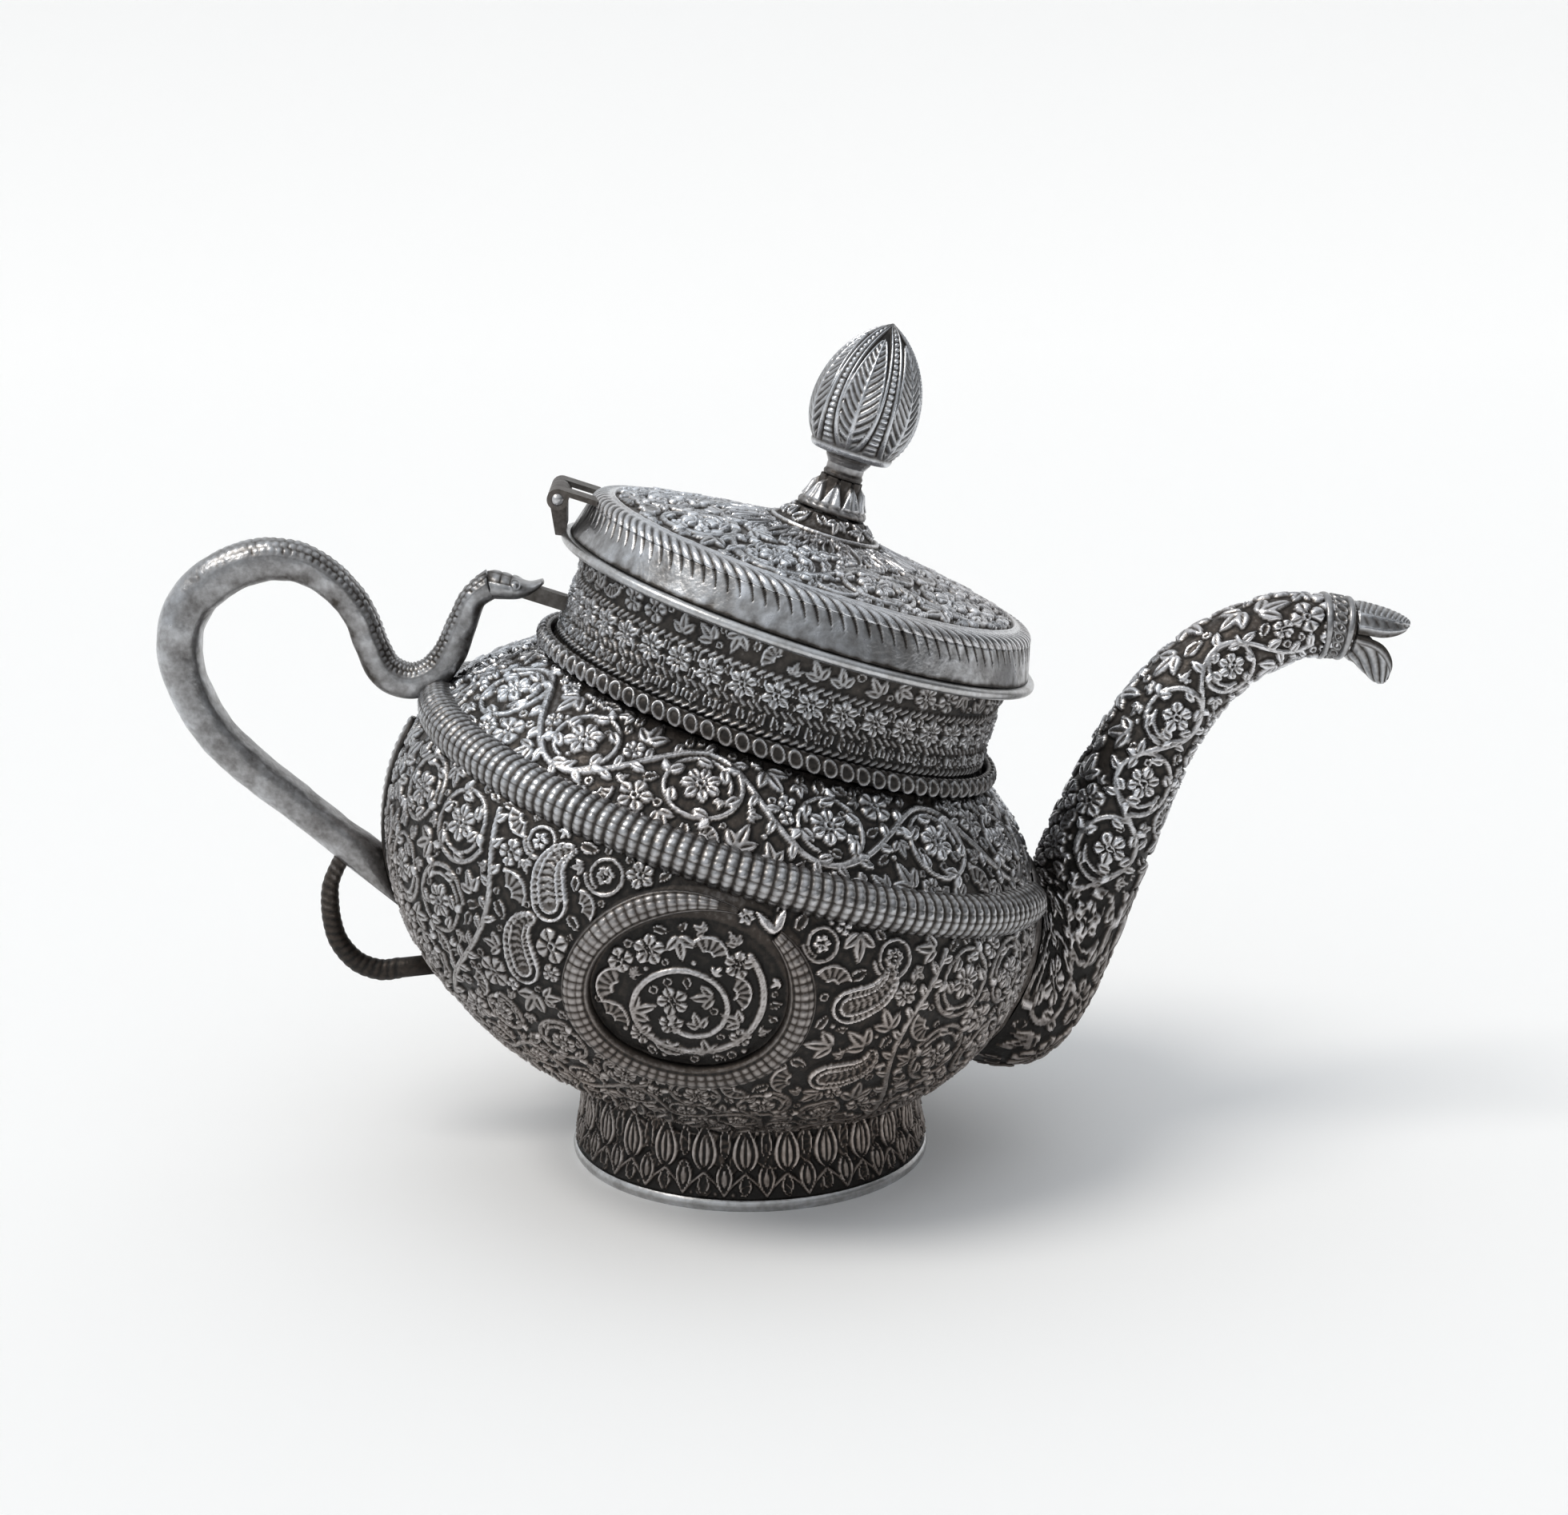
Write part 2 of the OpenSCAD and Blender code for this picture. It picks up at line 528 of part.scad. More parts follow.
// The serpent's neck ends, and its head begins, square to this direction.
nape_angle = 32;
nape = [cos(nape_angle), sin(nape_angle)];
module handle_serpent() color(worn) leaning() difference() {
    r = sweep(handle_curve, handle_n, handle_square);
    last = len(handle_curve) - 1;
    solid_skin(reversed(concat([landed(r[0], -heading(handle_curve, 0), 0)],
        [for (i = [0:last - 1]) r[i]], [ring(handle_curve[last], nape, handle_n, handle_square)])));
    rotate_extrude() oval(handle_off);
    rotate_extrude() band_section(seat);
}

head_square = 2.6;
peg_back = head_path[1][0] - body_r;
peg_low = head_path[1][1] - head_path[1][2] * handle_half + peg_t / 2;
module peg_bar(grow) translate([peg_back - grow, -peg_t * 0.55 - grow, peg_low - grow])
    cube([far / 8, peg_t * 1.1 + 2 * grow, peg_t + 2 * grow]);
module handle_head() color(worn) leaning() difference() {
    c = smooth(beside_bowl(head_path), 4);
    r = sweep(c, handle_n, head_square);
    solid_skin(reversed(concat([ring(c[0], nape, handle_n, head_square)],
        [for (i = [1:len(c) - 1]) r[i]])));
    peg_bar(seat / 2);
}
module handle_mouth_peg() color(shade) leaning() difference() {
    peg_bar(0);
    rotate_extrude() neck_region(0);
}

tail_n = 10;
tail_curve = smooth(beside_bowl(tail_path), 3);
pad_h = 1;
module handle_tail_loop() color(silver) leaning() {
    r = sweep(tail_curve, tail_n);
    last = len(tail_curve) - 1;
    solid_skin(reversed(concat(r, [landed(r[last], heading(tail_curve, last), 2 * seat + pad_h)])));
}

// Plates on the wall at the handle side: a long leaf outline, [s from, s to, half width, height].
leaf_steps = 12;
leaf_across = [-1, -0.6, 0, 0.6, 1];
function leaf_ring(p, x) =
    let (w = p[2] * (0.16 + 0.84 * pow(sin(180 * x), 0.6)), s = p[0] + (p[1] - p[0]) * x)
    concat([for (v = leaf_across) wrap(180, v * w, s, seat)],
        [for (v = reversed(leaf_across)) wrap(180, v * w, s, seat + p[3] * (abs(v) == 1 ? 0.5 : 1))]);
module leaf_plate(p) solid_skin([for (i = [0:leaf_steps]) leaf_ring(p, i / leaf_steps)]);
module handle_escutcheon() color(silver) leaning() leaf_plate([-34, 10, escutcheon_half, escutcheon_h]);
module handle_tail_pad() color(silver) leaning() leaf_plate([-50, -35.5, 7.5, pad_h]);

// ---- lid ----
lid_edge_h = lid_gap + lid_band_h;
function lid_side_r(h) = lid_r - lid_taper * (h - lid_gap) / lid_band_h;
cone_slope = 0.18;
cone_r = lid_r - 4.5;
cone_h = lid_edge_h + 2.2;
spire_R = 12;
spire_u = lid_top_r - 2.2 + spire_R;
spire_h = cone_h + cone_slope * (cone_r - spire_u) + spire_R * sqrt(1 + pow(cone_slope, 2));
spire_foot_r = spire_u - spire_R * cone_slope / sqrt(1 + pow(cone_slope, 2));
lid_top_h = spire_h - sqrt(pow(spire_R, 2) - pow(spire_u - lid_top_r, 2));

// Region under the lid's skin, drawn in by w: a rounded edge, a flat cone and a hollow-sided spire.
module lid_region(w) {
    foot_h = cone_h + cone_slope * (cone_r - spire_foot_r);
    intersection() {
        union() {
            polygon([[0, lid_edge_h], [cone_r, lid_edge_h], [cone_r, cone_h - w],
                [spire_foot_r, foot_h - w], [0, foot_h - w]]);
            difference() {
                square([spire_foot_r, lid_top_h - w]);
                translate([spire_u, spire_h]) circle(spire_R + w, $fn = 80);
            }
            translate([cone_r - 0.6, lid_edge_h]) intersection() {
                round_edge(w);
                square([far, far]);
            }
        }
        translate([0, lid_edge_h]) square([far, far]);
    }
}
// The quarter round between the side band and the cone.
edge_R = cone_h - lid_edge_h;
module round_edge(w) {
    run = lid_r - lid_taper - cone_r + 0.6;
    square([run - edge_R, edge_R - w]);
    translate([run - edge_R, 0]) circle(edge_R - w, $fn = 48);
}
module bored_lid(h0, h1) translate([0, 0, h0]) cylinder(r = stud_r + stud_fit, h = h1 - h0, $fn = 32);

module lid_dome() color(silver) at_rim() difference() {
    rotate_extrude() difference() {
        lid_region(0);
        lid_region(lid_sheet);
    }
    bored_lid(lid_top_h - 2 * lid_sheet, lid_top_h + 1);
}
module lid_side(h0, h1, w) translate([0, 0, h0])
    cylinder(r1 = lid_side_r(h0) - w, r2 = lid_side_r(h1) - w, h = h1 - h0, $fn = 160);
module lid_band() color(worn) at_rim() difference() {
    lid_side(lid_gap, lid_edge_h, 0);
    lid_side(lid_gap - 1, lid_edge_h + 1, lid_sheet);
}
bezel_r = mouth_r - bezel_gap;
module lid_bezel() color(silver) at_rim() rotate_extrude() {
    translate([bezel_r - lid_sheet, -bezel_depth])
        square([lid_sheet, bezel_depth + lid_gap + lid_sheet]);
    translate([bezel_r - lid_sheet, lid_gap])
        square([lid_side_r(lid_gap + lid_sheet) - bezel_r, lid_sheet]);
}

// ---- hinge ----
hinge_u = -lid_r - hinge_back;
leaf_h = 1;
module hinge_cut(w, r) translate([hinge_u, 0, hinge_h]) rotate([90, 0, 0])
    cylinder(r = r, h = w, center = true, $fn = 48);

// The pot's knuckle stands on a leg that hooks over the flange's edge.
module hinge_pot_knuckle() color(silver) at_rim() difference() {
    union() {
        hinge_cut(pot_knuckle_w, knuckle_r);
        rotate([90, 0, 0]) linear_extrude(height = pot_knuckle_w, center = true) polygon([
            [hinge_u - knuckle_r * 0.75, hinge_h - knuckle_r * 0.66],
            [hinge_u + knuckle_r * 0.9, hinge_h - knuckle_r * 0.4],
            [-lid_r - 0.9, 0.9], [-lid_r - 0.9, -flange_h / 2], [-flange_r - 1, -flange_h / 2 - 0.3]]);
    }
    hinge_cut(far, pin_r + pin_fit);
    rotate_extrude() {
        translate([0, -flange_h]) square([flange_r - flange_h / 2, flange_h]);
        translate([flange_r - flange_h / 2, -flange_h / 2]) circle(d = flange_h, $fn = 32);
    }
}
side_knuckle_w = (hinge_w - pot_knuckle_w) / 2 - knuckle_gap;
// Two knuckles on one flat leaf, which runs over the lid's edge.
module hinge_lid_knuckles() color(silver) at_rim() difference() {
    for (side = [-1, 1]) translate([0, side * (hinge_w - side_knuckle_w) / 2, 0]) {
        hinge_cut(side_knuckle_w, knuckle_r);
        translate([hinge_u, -side_knuckle_w / 2, hinge_h + knuckle_r - leaf_h])
            cube([hinge_back + lid_taper + 1.4, side_knuckle_w, leaf_h]);
    }
    hinge_cut(far, pin_r + pin_fit);
    lid_side(lid_gap, lid_edge_h, 0);
    rotate_extrude() lid_region(0);
}
head_rise = 0.6;
head_R = (pow(pin_r, 2) + pow(head_rise, 2)) / (2 * head_rise);
module hinge_pin() color(worn) at_rim() translate([hinge_u, 0, hinge_h]) rotate([90, 0, 0])
    rotate_extrude() {
        translate([0, -hinge_w / 2]) square([pin_r, hinge_w]);
        for (k = [0, 1]) mirror([0, k]) translate([0, hinge_w / 2]) intersection() {
            translate([0, head_rise - head_R]) circle(head_R, $fn = 48);
            square([pin_r, head_rise]);
        }
    }

// ---- finial: calyx, stem and bud threaded on one stud that is peened under the lid ----
calyx_foot = lid_top_h + 0.05;
stem_foot = calyx_foot + calyx_h;
bud_foot = stem_foot + stem_h;
bud_wide_h = 9.5;
bud_floor_r = 7;
bud_up_R = (pow(bud_h - bud_wide_h, 2) + pow(bud_r, 2)) / (2 * bud_r);
bud_low_R = (pow(bud_wide_h, 2) + pow(bud_r - bud_floor_r, 2)) / (2 * (bud_r - bud_floor_r));
stud_top = bud_foot + 3;
washer_h = 1;

// Hollow-sided, from the stem down to the lid's flat.
calyx_R = calyx_h * 1.35;
module calyx_region() difference() {
    square([lid_top_r, calyx_h]);
    translate([stem_r + 0.3 + calyx_R, calyx_h]) circle(calyx_R, $fn = 80);
}
module finial_calyx() color(shade) at_rim() difference() {
    translate([0, 0, calyx_foot]) rotate_extrude() calyx_region();
    bored_lid(calyx_foot - 1, stem_foot + 1);
}
module finial_stem() color(shade) at_rim() difference() {
    translate([0, 0, stem_foot]) rotate_extrude() {
        square([stem_r - 0.5, stem_h]);
        translate([stem_r - 0.8, 0.8]) circle(0.8, $fn = 24);
        translate([0, stem_h - 1.2]) square([stem_r + 0.7, 1.2]);
    }
    bored_lid(stem_foot - 1, bud_foot + 1);
}
// The bud is raised hollow: a long arc runs from its widest circle to the tip, a short one to its floor.
bud_steps = 14;
function bud_arc(R, w, a0, a1) = [for (i = [0:bud_steps]) let (a = a0 + (a1 - a0) * i / bud_steps)
    [bud_r - R + (R - w) * cos(a), bud_wide_h + (R - w) * sin(a)]];
function bud_line(w) = concat(
    bud_arc(bud_low_R, w, -asin((bud_wide_h - w) / (bud_low_R - w)), 0),
    [for (i = [1:bud_steps])
        bud_arc(bud_up_R, w, 0, acos((bud_up_R - bud_r) / (bud_up_R - w)))[i]]);
module finial_bud() color(worn) at_rim() difference() {
    translate([0, 0, bud_foot]) rotate_extrude()
        polygon(concat([[0, 0]], bud_line(0), reversed(bud_line(sheet)), [[0, sheet]]));
    bored_lid(bud_foot - 1, stud_top + 1);
}
module finial_stud() color(silver) at_rim() {
    base = lid_top_h - lid_sheet - washer_h - 0.05;
    translate([0, 0, base]) cylinder(r = stud_r, h = stud_top - base, $fn = 32);
    translate([0, 0, base - 1.2]) cylinder(r1 = stud_r + 0.3, r2 = stud_r + 1, h = 1.2, $fn = 32);
}
module finial_washer() color(worn) at_rim() difference() {
    translate([0, 0, lid_top_h - lid_sheet - washer_h]) cylinder(r = stud_r * 3, h = washer_h, $fn = 48);
    bored_lid(lid_top_h - 4, lid_top_h + 1);
}

foot_base_wire();
foot_ring();
bowl();
shoulder();
serpent_band();
bead_ring();
neck_collar();
mouth_flange();
medallion_serpent_front();
medallion_serpent_back();
spout_saddle();
spout_tube();
spout_collar();
spout_upper_jaw();
spout_lower_jaw();
handle_escutcheon();
handle_serpent();
handle_head();
handle_mouth_peg();
handle_tail_loop();
handle_tail_pad();
hinge_pot_knuckle();
lid_dome();
lid_band();
lid_bezel();
hinge_lid_knuckles();
hinge_pin();
finial_calyx();
finial_stem();
finial_bud();
finial_stud();
finial_washer();
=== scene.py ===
"""Looks for the serpent-handled silver pot: chased relief, oxidised silver, a pale studio."""

import math

import bpy
import numpy as np
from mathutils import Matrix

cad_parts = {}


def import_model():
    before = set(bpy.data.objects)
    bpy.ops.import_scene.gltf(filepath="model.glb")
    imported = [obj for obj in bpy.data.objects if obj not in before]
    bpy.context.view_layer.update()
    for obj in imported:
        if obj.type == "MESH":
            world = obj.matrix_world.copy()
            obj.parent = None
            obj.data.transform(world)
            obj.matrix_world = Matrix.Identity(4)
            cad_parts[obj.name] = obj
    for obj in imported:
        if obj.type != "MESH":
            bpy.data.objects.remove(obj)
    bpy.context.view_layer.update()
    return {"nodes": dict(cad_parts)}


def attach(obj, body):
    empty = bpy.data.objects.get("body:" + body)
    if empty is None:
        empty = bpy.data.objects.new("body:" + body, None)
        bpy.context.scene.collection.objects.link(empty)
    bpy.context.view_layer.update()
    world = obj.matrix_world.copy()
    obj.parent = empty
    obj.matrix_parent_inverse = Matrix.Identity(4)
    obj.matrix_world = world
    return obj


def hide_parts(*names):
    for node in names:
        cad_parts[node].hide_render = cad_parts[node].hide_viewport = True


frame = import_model()

# ---- the pot's own frame, in mm: u to the spout, v across, t up the leaning axis ----
LEAN = math.radians(18.2)
BODY_R, CROWN_RISE, SHOULDER_SIDE_R = 68.0, 46.3, 35.0
BOWL_DROP, BOWL_SIDE_R = 52.4, 43.6
BOWL_CLEAR, BOWL_FORWARD, SHEET = 8.5, 2.0, 1.1
RIM_T = 56.5
MM, TINY = 0.001, 1e-9
UPRIGHT = math.pi / 2


def arc_k(side, rise):
    """How far beyond the widest circle the big arc's centre lies, so that it runs into the side arc."""
    return ((BODY_R - side) ** 2 - (rise - side) ** 2) / (2 * (rise - side))


UP_K, LOW_K = arc_k(SHOULDER_SIDE_R, CROWN_RISE), arc_k(BOWL_SIDE_R, BOWL_DROP)
UP_R, LOW_R = CROWN_RISE + UP_K, BOWL_DROP + LOW_K
UP_JOIN = math.atan2(UP_K, BODY_R - SHOULDER_SIDE_R)
LOW_JOIN = math.atan2(LOW_K, BODY_R - BOWL_SIDE_R)
BOWL_X = BOWL_FORWARD - LOW_K * math.sin(LEAN)
BOWL_Z = BOWL_CLEAR + LOW_R - LOW_K * math.cos(LEAN)


def world(u, v, t):
    """Points of the leaning frame as world points in metres."""
    u, v, t = np.broadcast_arrays(u, v, t)
    return MM * np.stack([BOWL_X + u * math.cos(LEAN) + t * math.sin(LEAN), v,
                          BOWL_Z - u * math.sin(LEAN) + t * math.cos(LEAN)], -1)


def spun(r, phi, t):
    """World points at radius r, angle phi and height t of the leaning axis."""
    return world(r * np.cos(phi), r * np.sin(phi), t)


def outline(s, off=0.0):
    """Radius and height of the wall at arc length s from the widest circle, moved out by off."""
    s = np.asarray(s, float)
    up = s >= 0
    side = np.where(up, SHOULDER_SIDE_R, BOWL_SIDE_R)
    big = np.where(up, UP_R, LOW_R)
    k = np.where(up, UP_K, LOW_K)
    join = np.where(up, UP_JOIN, LOW_JOIN)
    a = np.abs(s) / side
    b = join + (np.abs(s) - side * join) / big
    near = a <= join
    r = np.where(near, BODY_R - side + (side + off) * np.cos(a), (big + off) * np.cos(b))
    t = np.where(near, (side + off) * np.sin(a), (big + off) * np.sin(b) - k)
    return r, np.where(up, t, -t)


def wall(phi, s, off=0.0):
    """World points of the wall at angle phi and arc length s, moved out by off."""
    r, t = outline(s, off)
    return spun(r, phi, t)


def wall_gap(p):
    """Distance of points (u, v, t) outside the wall."""
    r, t = np.hypot(p[..., 0], p[..., 1]), p[..., 2]
    up = t >= 0
    side = np.where(up, SHOULDER_SIDE_R, BOWL_SIDE_R)
    near = np.arctan2(np.abs(t), r - (BODY_R - side)) <= np.where(up, UP_JOIN, LOW_JOIN)
    far = np.hypot(r, np.abs(t) + np.where(up, UP_K, LOW_K)) - np.where(up, UP_R, LOW_R)
    return np.where(near, np.hypot(r - (BODY_R - side), t) - side, far)


def landed(ring, direction, off):
    """Moves a ring's points along a direction until they lie off outside the wall."""
    low, high = np.zeros(len(ring)), np.full(len(ring), 24.0)
    for _ in range(24):
        mid = (low + high) / 2
        outside = wall_gap(ring + mid[:, None] * direction) > off
        low, high = np.where(outside, mid, low), np.where(outside, high, mid)
    return ring + low[:, None] * direction


# ---- height fields: what the chasing hammer leaves on a strip of wall ----
def round_bump(e):
    """A round crest, 1 in the middle and 0 where e reaches 1."""
    return np.sqrt(np.clip(1 - e * e, 0, 1))


def flat_bump(e):
    """A flat crest with steep sides."""
    return np.clip(1 - np.clip(e, 0, 1) ** 4, 0, 1) ** 0.5


def ridge(e, at, wide):
    """A rounded ridge, 1 where e is at and 0 from wide away."""
    return np.clip(1 - ((e - at) / wide) ** 2, 0, 1)


def soft_ridge(e, at, wide):
    """A ridge whose feet run out softly."""
    return np.exp(-((e - at) / wide) ** 2)


def humps(x, power):
    """A row of humps with a cut at each whole number. A low power gives flat humps and fine cuts."""
    return np.abs(np.sin(math.pi * x)) ** power


def hollow_bump(e):
    """A raised rim round a sunk middle."""
    return np.where(e < 1.02, np.maximum(ridge(e, 0.74, 0.27), 0.3 * (e < 0.75)), 0)


def hammered(shape, seed, amount, soft, closed=True):
    """A smooth seeded unevenness of about the given amount. Each row is a ring where closed is set."""
    field = np.random.default_rng(seed).standard_normal(shape)
    for _ in range(soft):
        wide = np.pad(field, ((1, 1), (0, 0)), "edge")
        field = (wide[:-2] + field + wide[2:]) / 3
    for _ in range(soft):
        wide = np.pad(field, ((0, 0), (1, 1)), "wrap" if closed else "edge")
        field = (wide[:, :-2] + field + wide[:, 2:]) / 3
    return amount * field / field.std()


class Strip:
    """Heights over a strip: x runs round and meets itself, y runs along the wall, in mm.

    narrow(y) is the true length round at y as a share of width, so motifs keep their shape.
    A coarse map of the free space beside the motifs says where the next one fits."""

    FREE_STEP, REACH, KEEP = 0.5, 4.6, 0.2

    def __init__(self, width, low, high, step, narrow=lambda y: 1.0):
        self.width, self.low, self.narrow = width, low, narrow
        self.nx, self.ny = int(round(width / step)), int(round((high - low) / step)) + 1
        self.dx, self.dy = width / self.nx, (high - low) / (self.ny - 1)
        self.h = np.zeros((self.ny, self.nx))
        self.free_nx = int(round(width / self.FREE_STEP))
        self.free_ny = int(round((high - low) / self.FREE_STEP)) + 1
        self.free_dx, self.free_dy = width / self.free_nx, (high - low) / (self.free_ny - 1)
        y = np.arange(self.free_ny) * self.free_dy
        edge = np.minimum(np.minimum(y, y[::-1]), self.REACH)
        self.free = np.repeat(edge[:, None], self.free_nx, 1)

    def window(self, x, y, reach, coarse=False):
        """Rows and columns around (x, y), and their offsets from it."""
        dx, dy, nx, ny = self.dx, self.dy, self.nx, self.ny
        if coarse:
            dx, dy, nx, ny = self.free_dx, self.free_dy, self.free_nx, self.free_ny
        g = self.narrow(y)
        ix = np.arange(math.floor((x - reach / g) / dx), math.ceil((x + reach / g) / dx) + 1)
        iy = np.arange(max(0, math.floor((y - reach - self.low) / dy)),
                       min(ny - 1, math.ceil((y + reach - self.low) / dy)) + 1)
        return iy[:, None], (ix % nx)[None], ((ix * dx - x) * g)[None], (self.low + iy * dy - y)[:, None]

    def ahead(self, x, y, angle, far):
        """The point that lies far mm from (x, y) at an angle."""
        return x + math.cos(angle) * far / self.narrow(y), y + math.sin(angle) * far

    def put(self, iy, ix, value):
        """Raises the heights to value where they are lower."""
        self.h[iy, ix] = np.maximum(self.h[iy, ix], value)

    def take(self, x, y, r):
        """Marks a disc as used."""
        iy, ix, px, py = self.window(x, y, r + self.REACH, True)
        self.free[iy, ix] = np.minimum(self.free[iy, ix], np.hypot(px, py) - r)

    def line(self, points, width, height, end=1.0, groove=0.0):
        """A raised stem through points, whose half width runs from width to end * width."""
        count = len(points) - 1
        for i in range(count):
            (x0, y0), (x1, y1) = points[i], points[i + 1]
            x, y = (x0 + x1) / 2, (y0 + y1) / 2
            ax, ay = (x1 - x0) * self.narrow(y) / 2, (y1 - y0) / 2
            half = math.hypot(ax, ay)
            w = width * (1 + (end - 1) * (i + 0.5) / count)
            for coarse in (False, True):
                reach = half + (self.REACH if coarse else w)
                iy, ix, px, py = self.window(x, y, reach, coarse)
                k = np.clip((px * ax + py * ay) / max(half * half, TINY), -1, 1)
                d = np.hypot(px - k * ax, py - k * ay)
                if coarse:
                    self.free[iy, ix] = np.minimum(self.free[iy, ix], d - w - self.KEEP)
                else:
                    self.put(iy, ix, height * round_bump(d / w) - groove * soft_ridge(d, 0, 0.3 * w))

    def leaf(self, x, y, angle, length, width, height, hollow=True, vein=False, blunt=0.75):
        """A leaf or petal with its foot at (x, y)."""
        c, s = math.cos(angle), math.sin(angle)
        middle = self.ahead(x, y, angle, length / 2)
        iy, ix, px, py = self.window(*middle, max(length / 2, width) + 0.3)
        along = (px * c + py * s) / length + 0.5
        across = -px * s + py * c
        full = np.sin(math.pi * np.clip(along, 0, 1) ** blunt) ** 0.85
        e = np.abs(across) / (width * np.maximum(full, 0.02)) + (np.abs(along - 0.5) > 0.5) * 9
        value = height * (hollow_bump(e) if hollow else flat_bump(e))
        if vein:
            value = value - 0.45 * height * soft_ridge(across, 0, 0.28) * (e < 1)
        self.put(iy, ix, value)

    def knob(self, x, y, r, height, pit=True):
        """A boss, with a punched pit where pit is set."""
        iy, ix, px, py = self.window(x, y, r + 0.3)
        e = np.hypot(px, py) / r
        self.put(iy, ix, height * (hollow_bump(e) if pit else round_bump(e)))

    def rosette(self, x, y, r, height, petals=6, turn=0.0):
        """An open flower round a knob."""
        for i in range(petals):
            a = turn + 2 * math.pi * i / petals
            self.leaf(*self.ahead(x, y, a, 0.18 * r), a, r * 0.9, r * 2.3 / petals, height,
                      hollow=False, vein=r > 1.7, blunt=1.35)
        self.knob(x, y, r * 0.27, height * 1.1)
        self.take(x, y, r)

    def spray(self, x, y, r, height, angle):
        """Three leaves on one foot."""
        foot = self.ahead(x, y, angle, -0.8 * r)
        for turn, size in ((-0.85, 1.35), (0.85, 1.35), (0, 1.8)):
            self.leaf(*foot, angle + turn, r * size, r * 0.42, height, hollow=False, vein=r > 1.3)
        self.take(x, y, r)

    def fan(self, x, y, r, height, angle):
        """A rimmed half flower with rays."""
        iy, ix, px, py = self.window(*self.ahead(x, y, angle, -0.55 * r), r * 1.7)
        d, a = np.hypot(px, py) / (1.5 * r), np.arctan2(py, px) - angle
        a = (a + math.pi) % (2 * math.pi) - math.pi
        rays = 0.25 + 0.45 * np.abs(np.cos(a * 7)) ** 0.6
        rims = np.maximum(ridge(d, 0.9, 0.1), ridge(d, 0.3, 0.1))
        value = np.maximum(rims, rays * (d > 0.3) * (d < 0.9))
        self.put(iy, ix, height * value * (np.abs(a) < 1.15) * (d < 1))
        self.take(x, y, r)

    def paisley(self, x, y, angle, length, width, height, hand):
        """A curled, hatched drop: its round end at (x, y), its tip bent over to one side."""
        steps = 40
        k = np.linspace(0, 1, steps)
        bend = angle + hand * 1.9 * k ** 2.2
        step = length / steps
        g = self.narrow(y)
        ax, ay = np.cumsum(np.cos(bend)) * step, np.cumsum(np.sin(bend)) * step
        half = width * np.sqrt(np.clip(1 - ((k - 0.3) / 0.72) ** 2, 0.02, 1)) * (1 - 0.45 * k)
        mx, my = ax[steps // 2], ay[steps // 2]
        iy, ix, px, py = self.window(x + mx / g, y + my, length * 0.75 + width)
        d = np.hypot(px[..., None] + mx - ax, py[..., None] + my - ay) / half
        e, along = d.min(-1), d.argmin(-1) * step
        rims = np.maximum(ridge(e, 0.9, 0.13), ridge(e, 0.5, 0.12))
        hatch = 0.4 * humps(along / 0.95, 0.5) * (e > 0.52)
        heart = 0.25 * np.abs(np.sin(math.pi * along / 1.3 + 3 * e)) * (e < 0.45)
        value = np.maximum(rims, 0.35 + hatch + heart)
        self.put(iy, ix, height * np.where(e < 1.03, value, 0))
        for i in range(0, steps, 3):
            self.take(x + ax[i] / g, y + ay[i], half[i] + 0.4)

    def spiral(self, x, y, r, start, hand, turns, width=0.6, height=1.0, petals=6):
        """A tendril that curls in around a flower. A large one has leaves on both sides."""
        k = np.linspace(0, 1, int(26 * turns) + 10)
        a = start + hand * k * turns * 2 * math.pi
        q = r * (1 - 0.3 * k)
        g = self.narrow(y)
        self.line(list(zip(x + q * np.cos(a) / g, y + q * np.sin(a))), width, height * 0.8, 0.7, 0.3)
        self.rosette(x, y, r * 0.46, height, petals, start)
        if r <= 4.5:
            return
        for i in range(6):
            b = start + hand * (0.7 + 1.05 * i)
            q = r * (0.93 - 0.042 * i * turns)
            self.leaf(*self.ahead(x, y, b, q), b + hand * 2.2, r * 0.42, r * 0.15, height, False, True)
            self.take(*self.ahead(x, y, b, q - r * 0.14), r * 0.14)
            if i % 2:
                foot = self.ahead(x, y, b, q + width)
                self.leaf(*foot, b + hand * 0.9, r * 0.34, r * 0.13, height, False)

    def sprigs(self, points, every, length, height):
        """Small leaves on both sides of a stem, wherever there is room for one."""
        done, side = 0.0, 1
        for (x0, y0), (x1, y1) in zip(points[:-1], points[1:]):
            g = self.narrow(y0)
            done += math.hypot((x1 - x0) * g, y1 - y0)
            if done < every:
                continue
            done, side = 0.0, -side
            turn = math.atan2(y1 - y0, (x1 - x0) * g) + side * 0.95
            x, y = self.ahead(x0, y0, turn, length * 0.62)
            row = int(np.clip((y - self.low) / self.free_dy, 0, self.free_ny - 1))
            if self.free[row, int(x / self.free_dx) % self.free_nx] > 0.55:
                self.leaf(x0, y0, turn, length, length * 0.27, height, False, True)
                self.take(x, y, length * 0.3)

    def scroll(self, middle, r, count, width, height, petals=6):
        """A running vine: it swings over one loop and under the next, and each curls round a flower."""
        pitch = self.width / (2 * count)
        curl = 0.95 * min(r, 0.47 * pitch * self.narrow(middle))
        x = np.linspace(0, self.width, 48 * count + 1)
        vine = list(zip(x, middle + 0.98 * r * np.cos(math.pi * x / pitch)))
        self.line(vine, width, height * 0.85, groove=0.35)
        for i in range(2 * count):
            side = 1 if i % 2 == 0 else -1
            self.spiral(i * pitch, middle + side * r * 0.05, curl, side * UPRIGHT - 0.9, -side, 1.1,
                        width * 0.85, height, petals + (i % 3 == 1))
        self.sprigs(vine, 2.2, 0.4 * r, height)

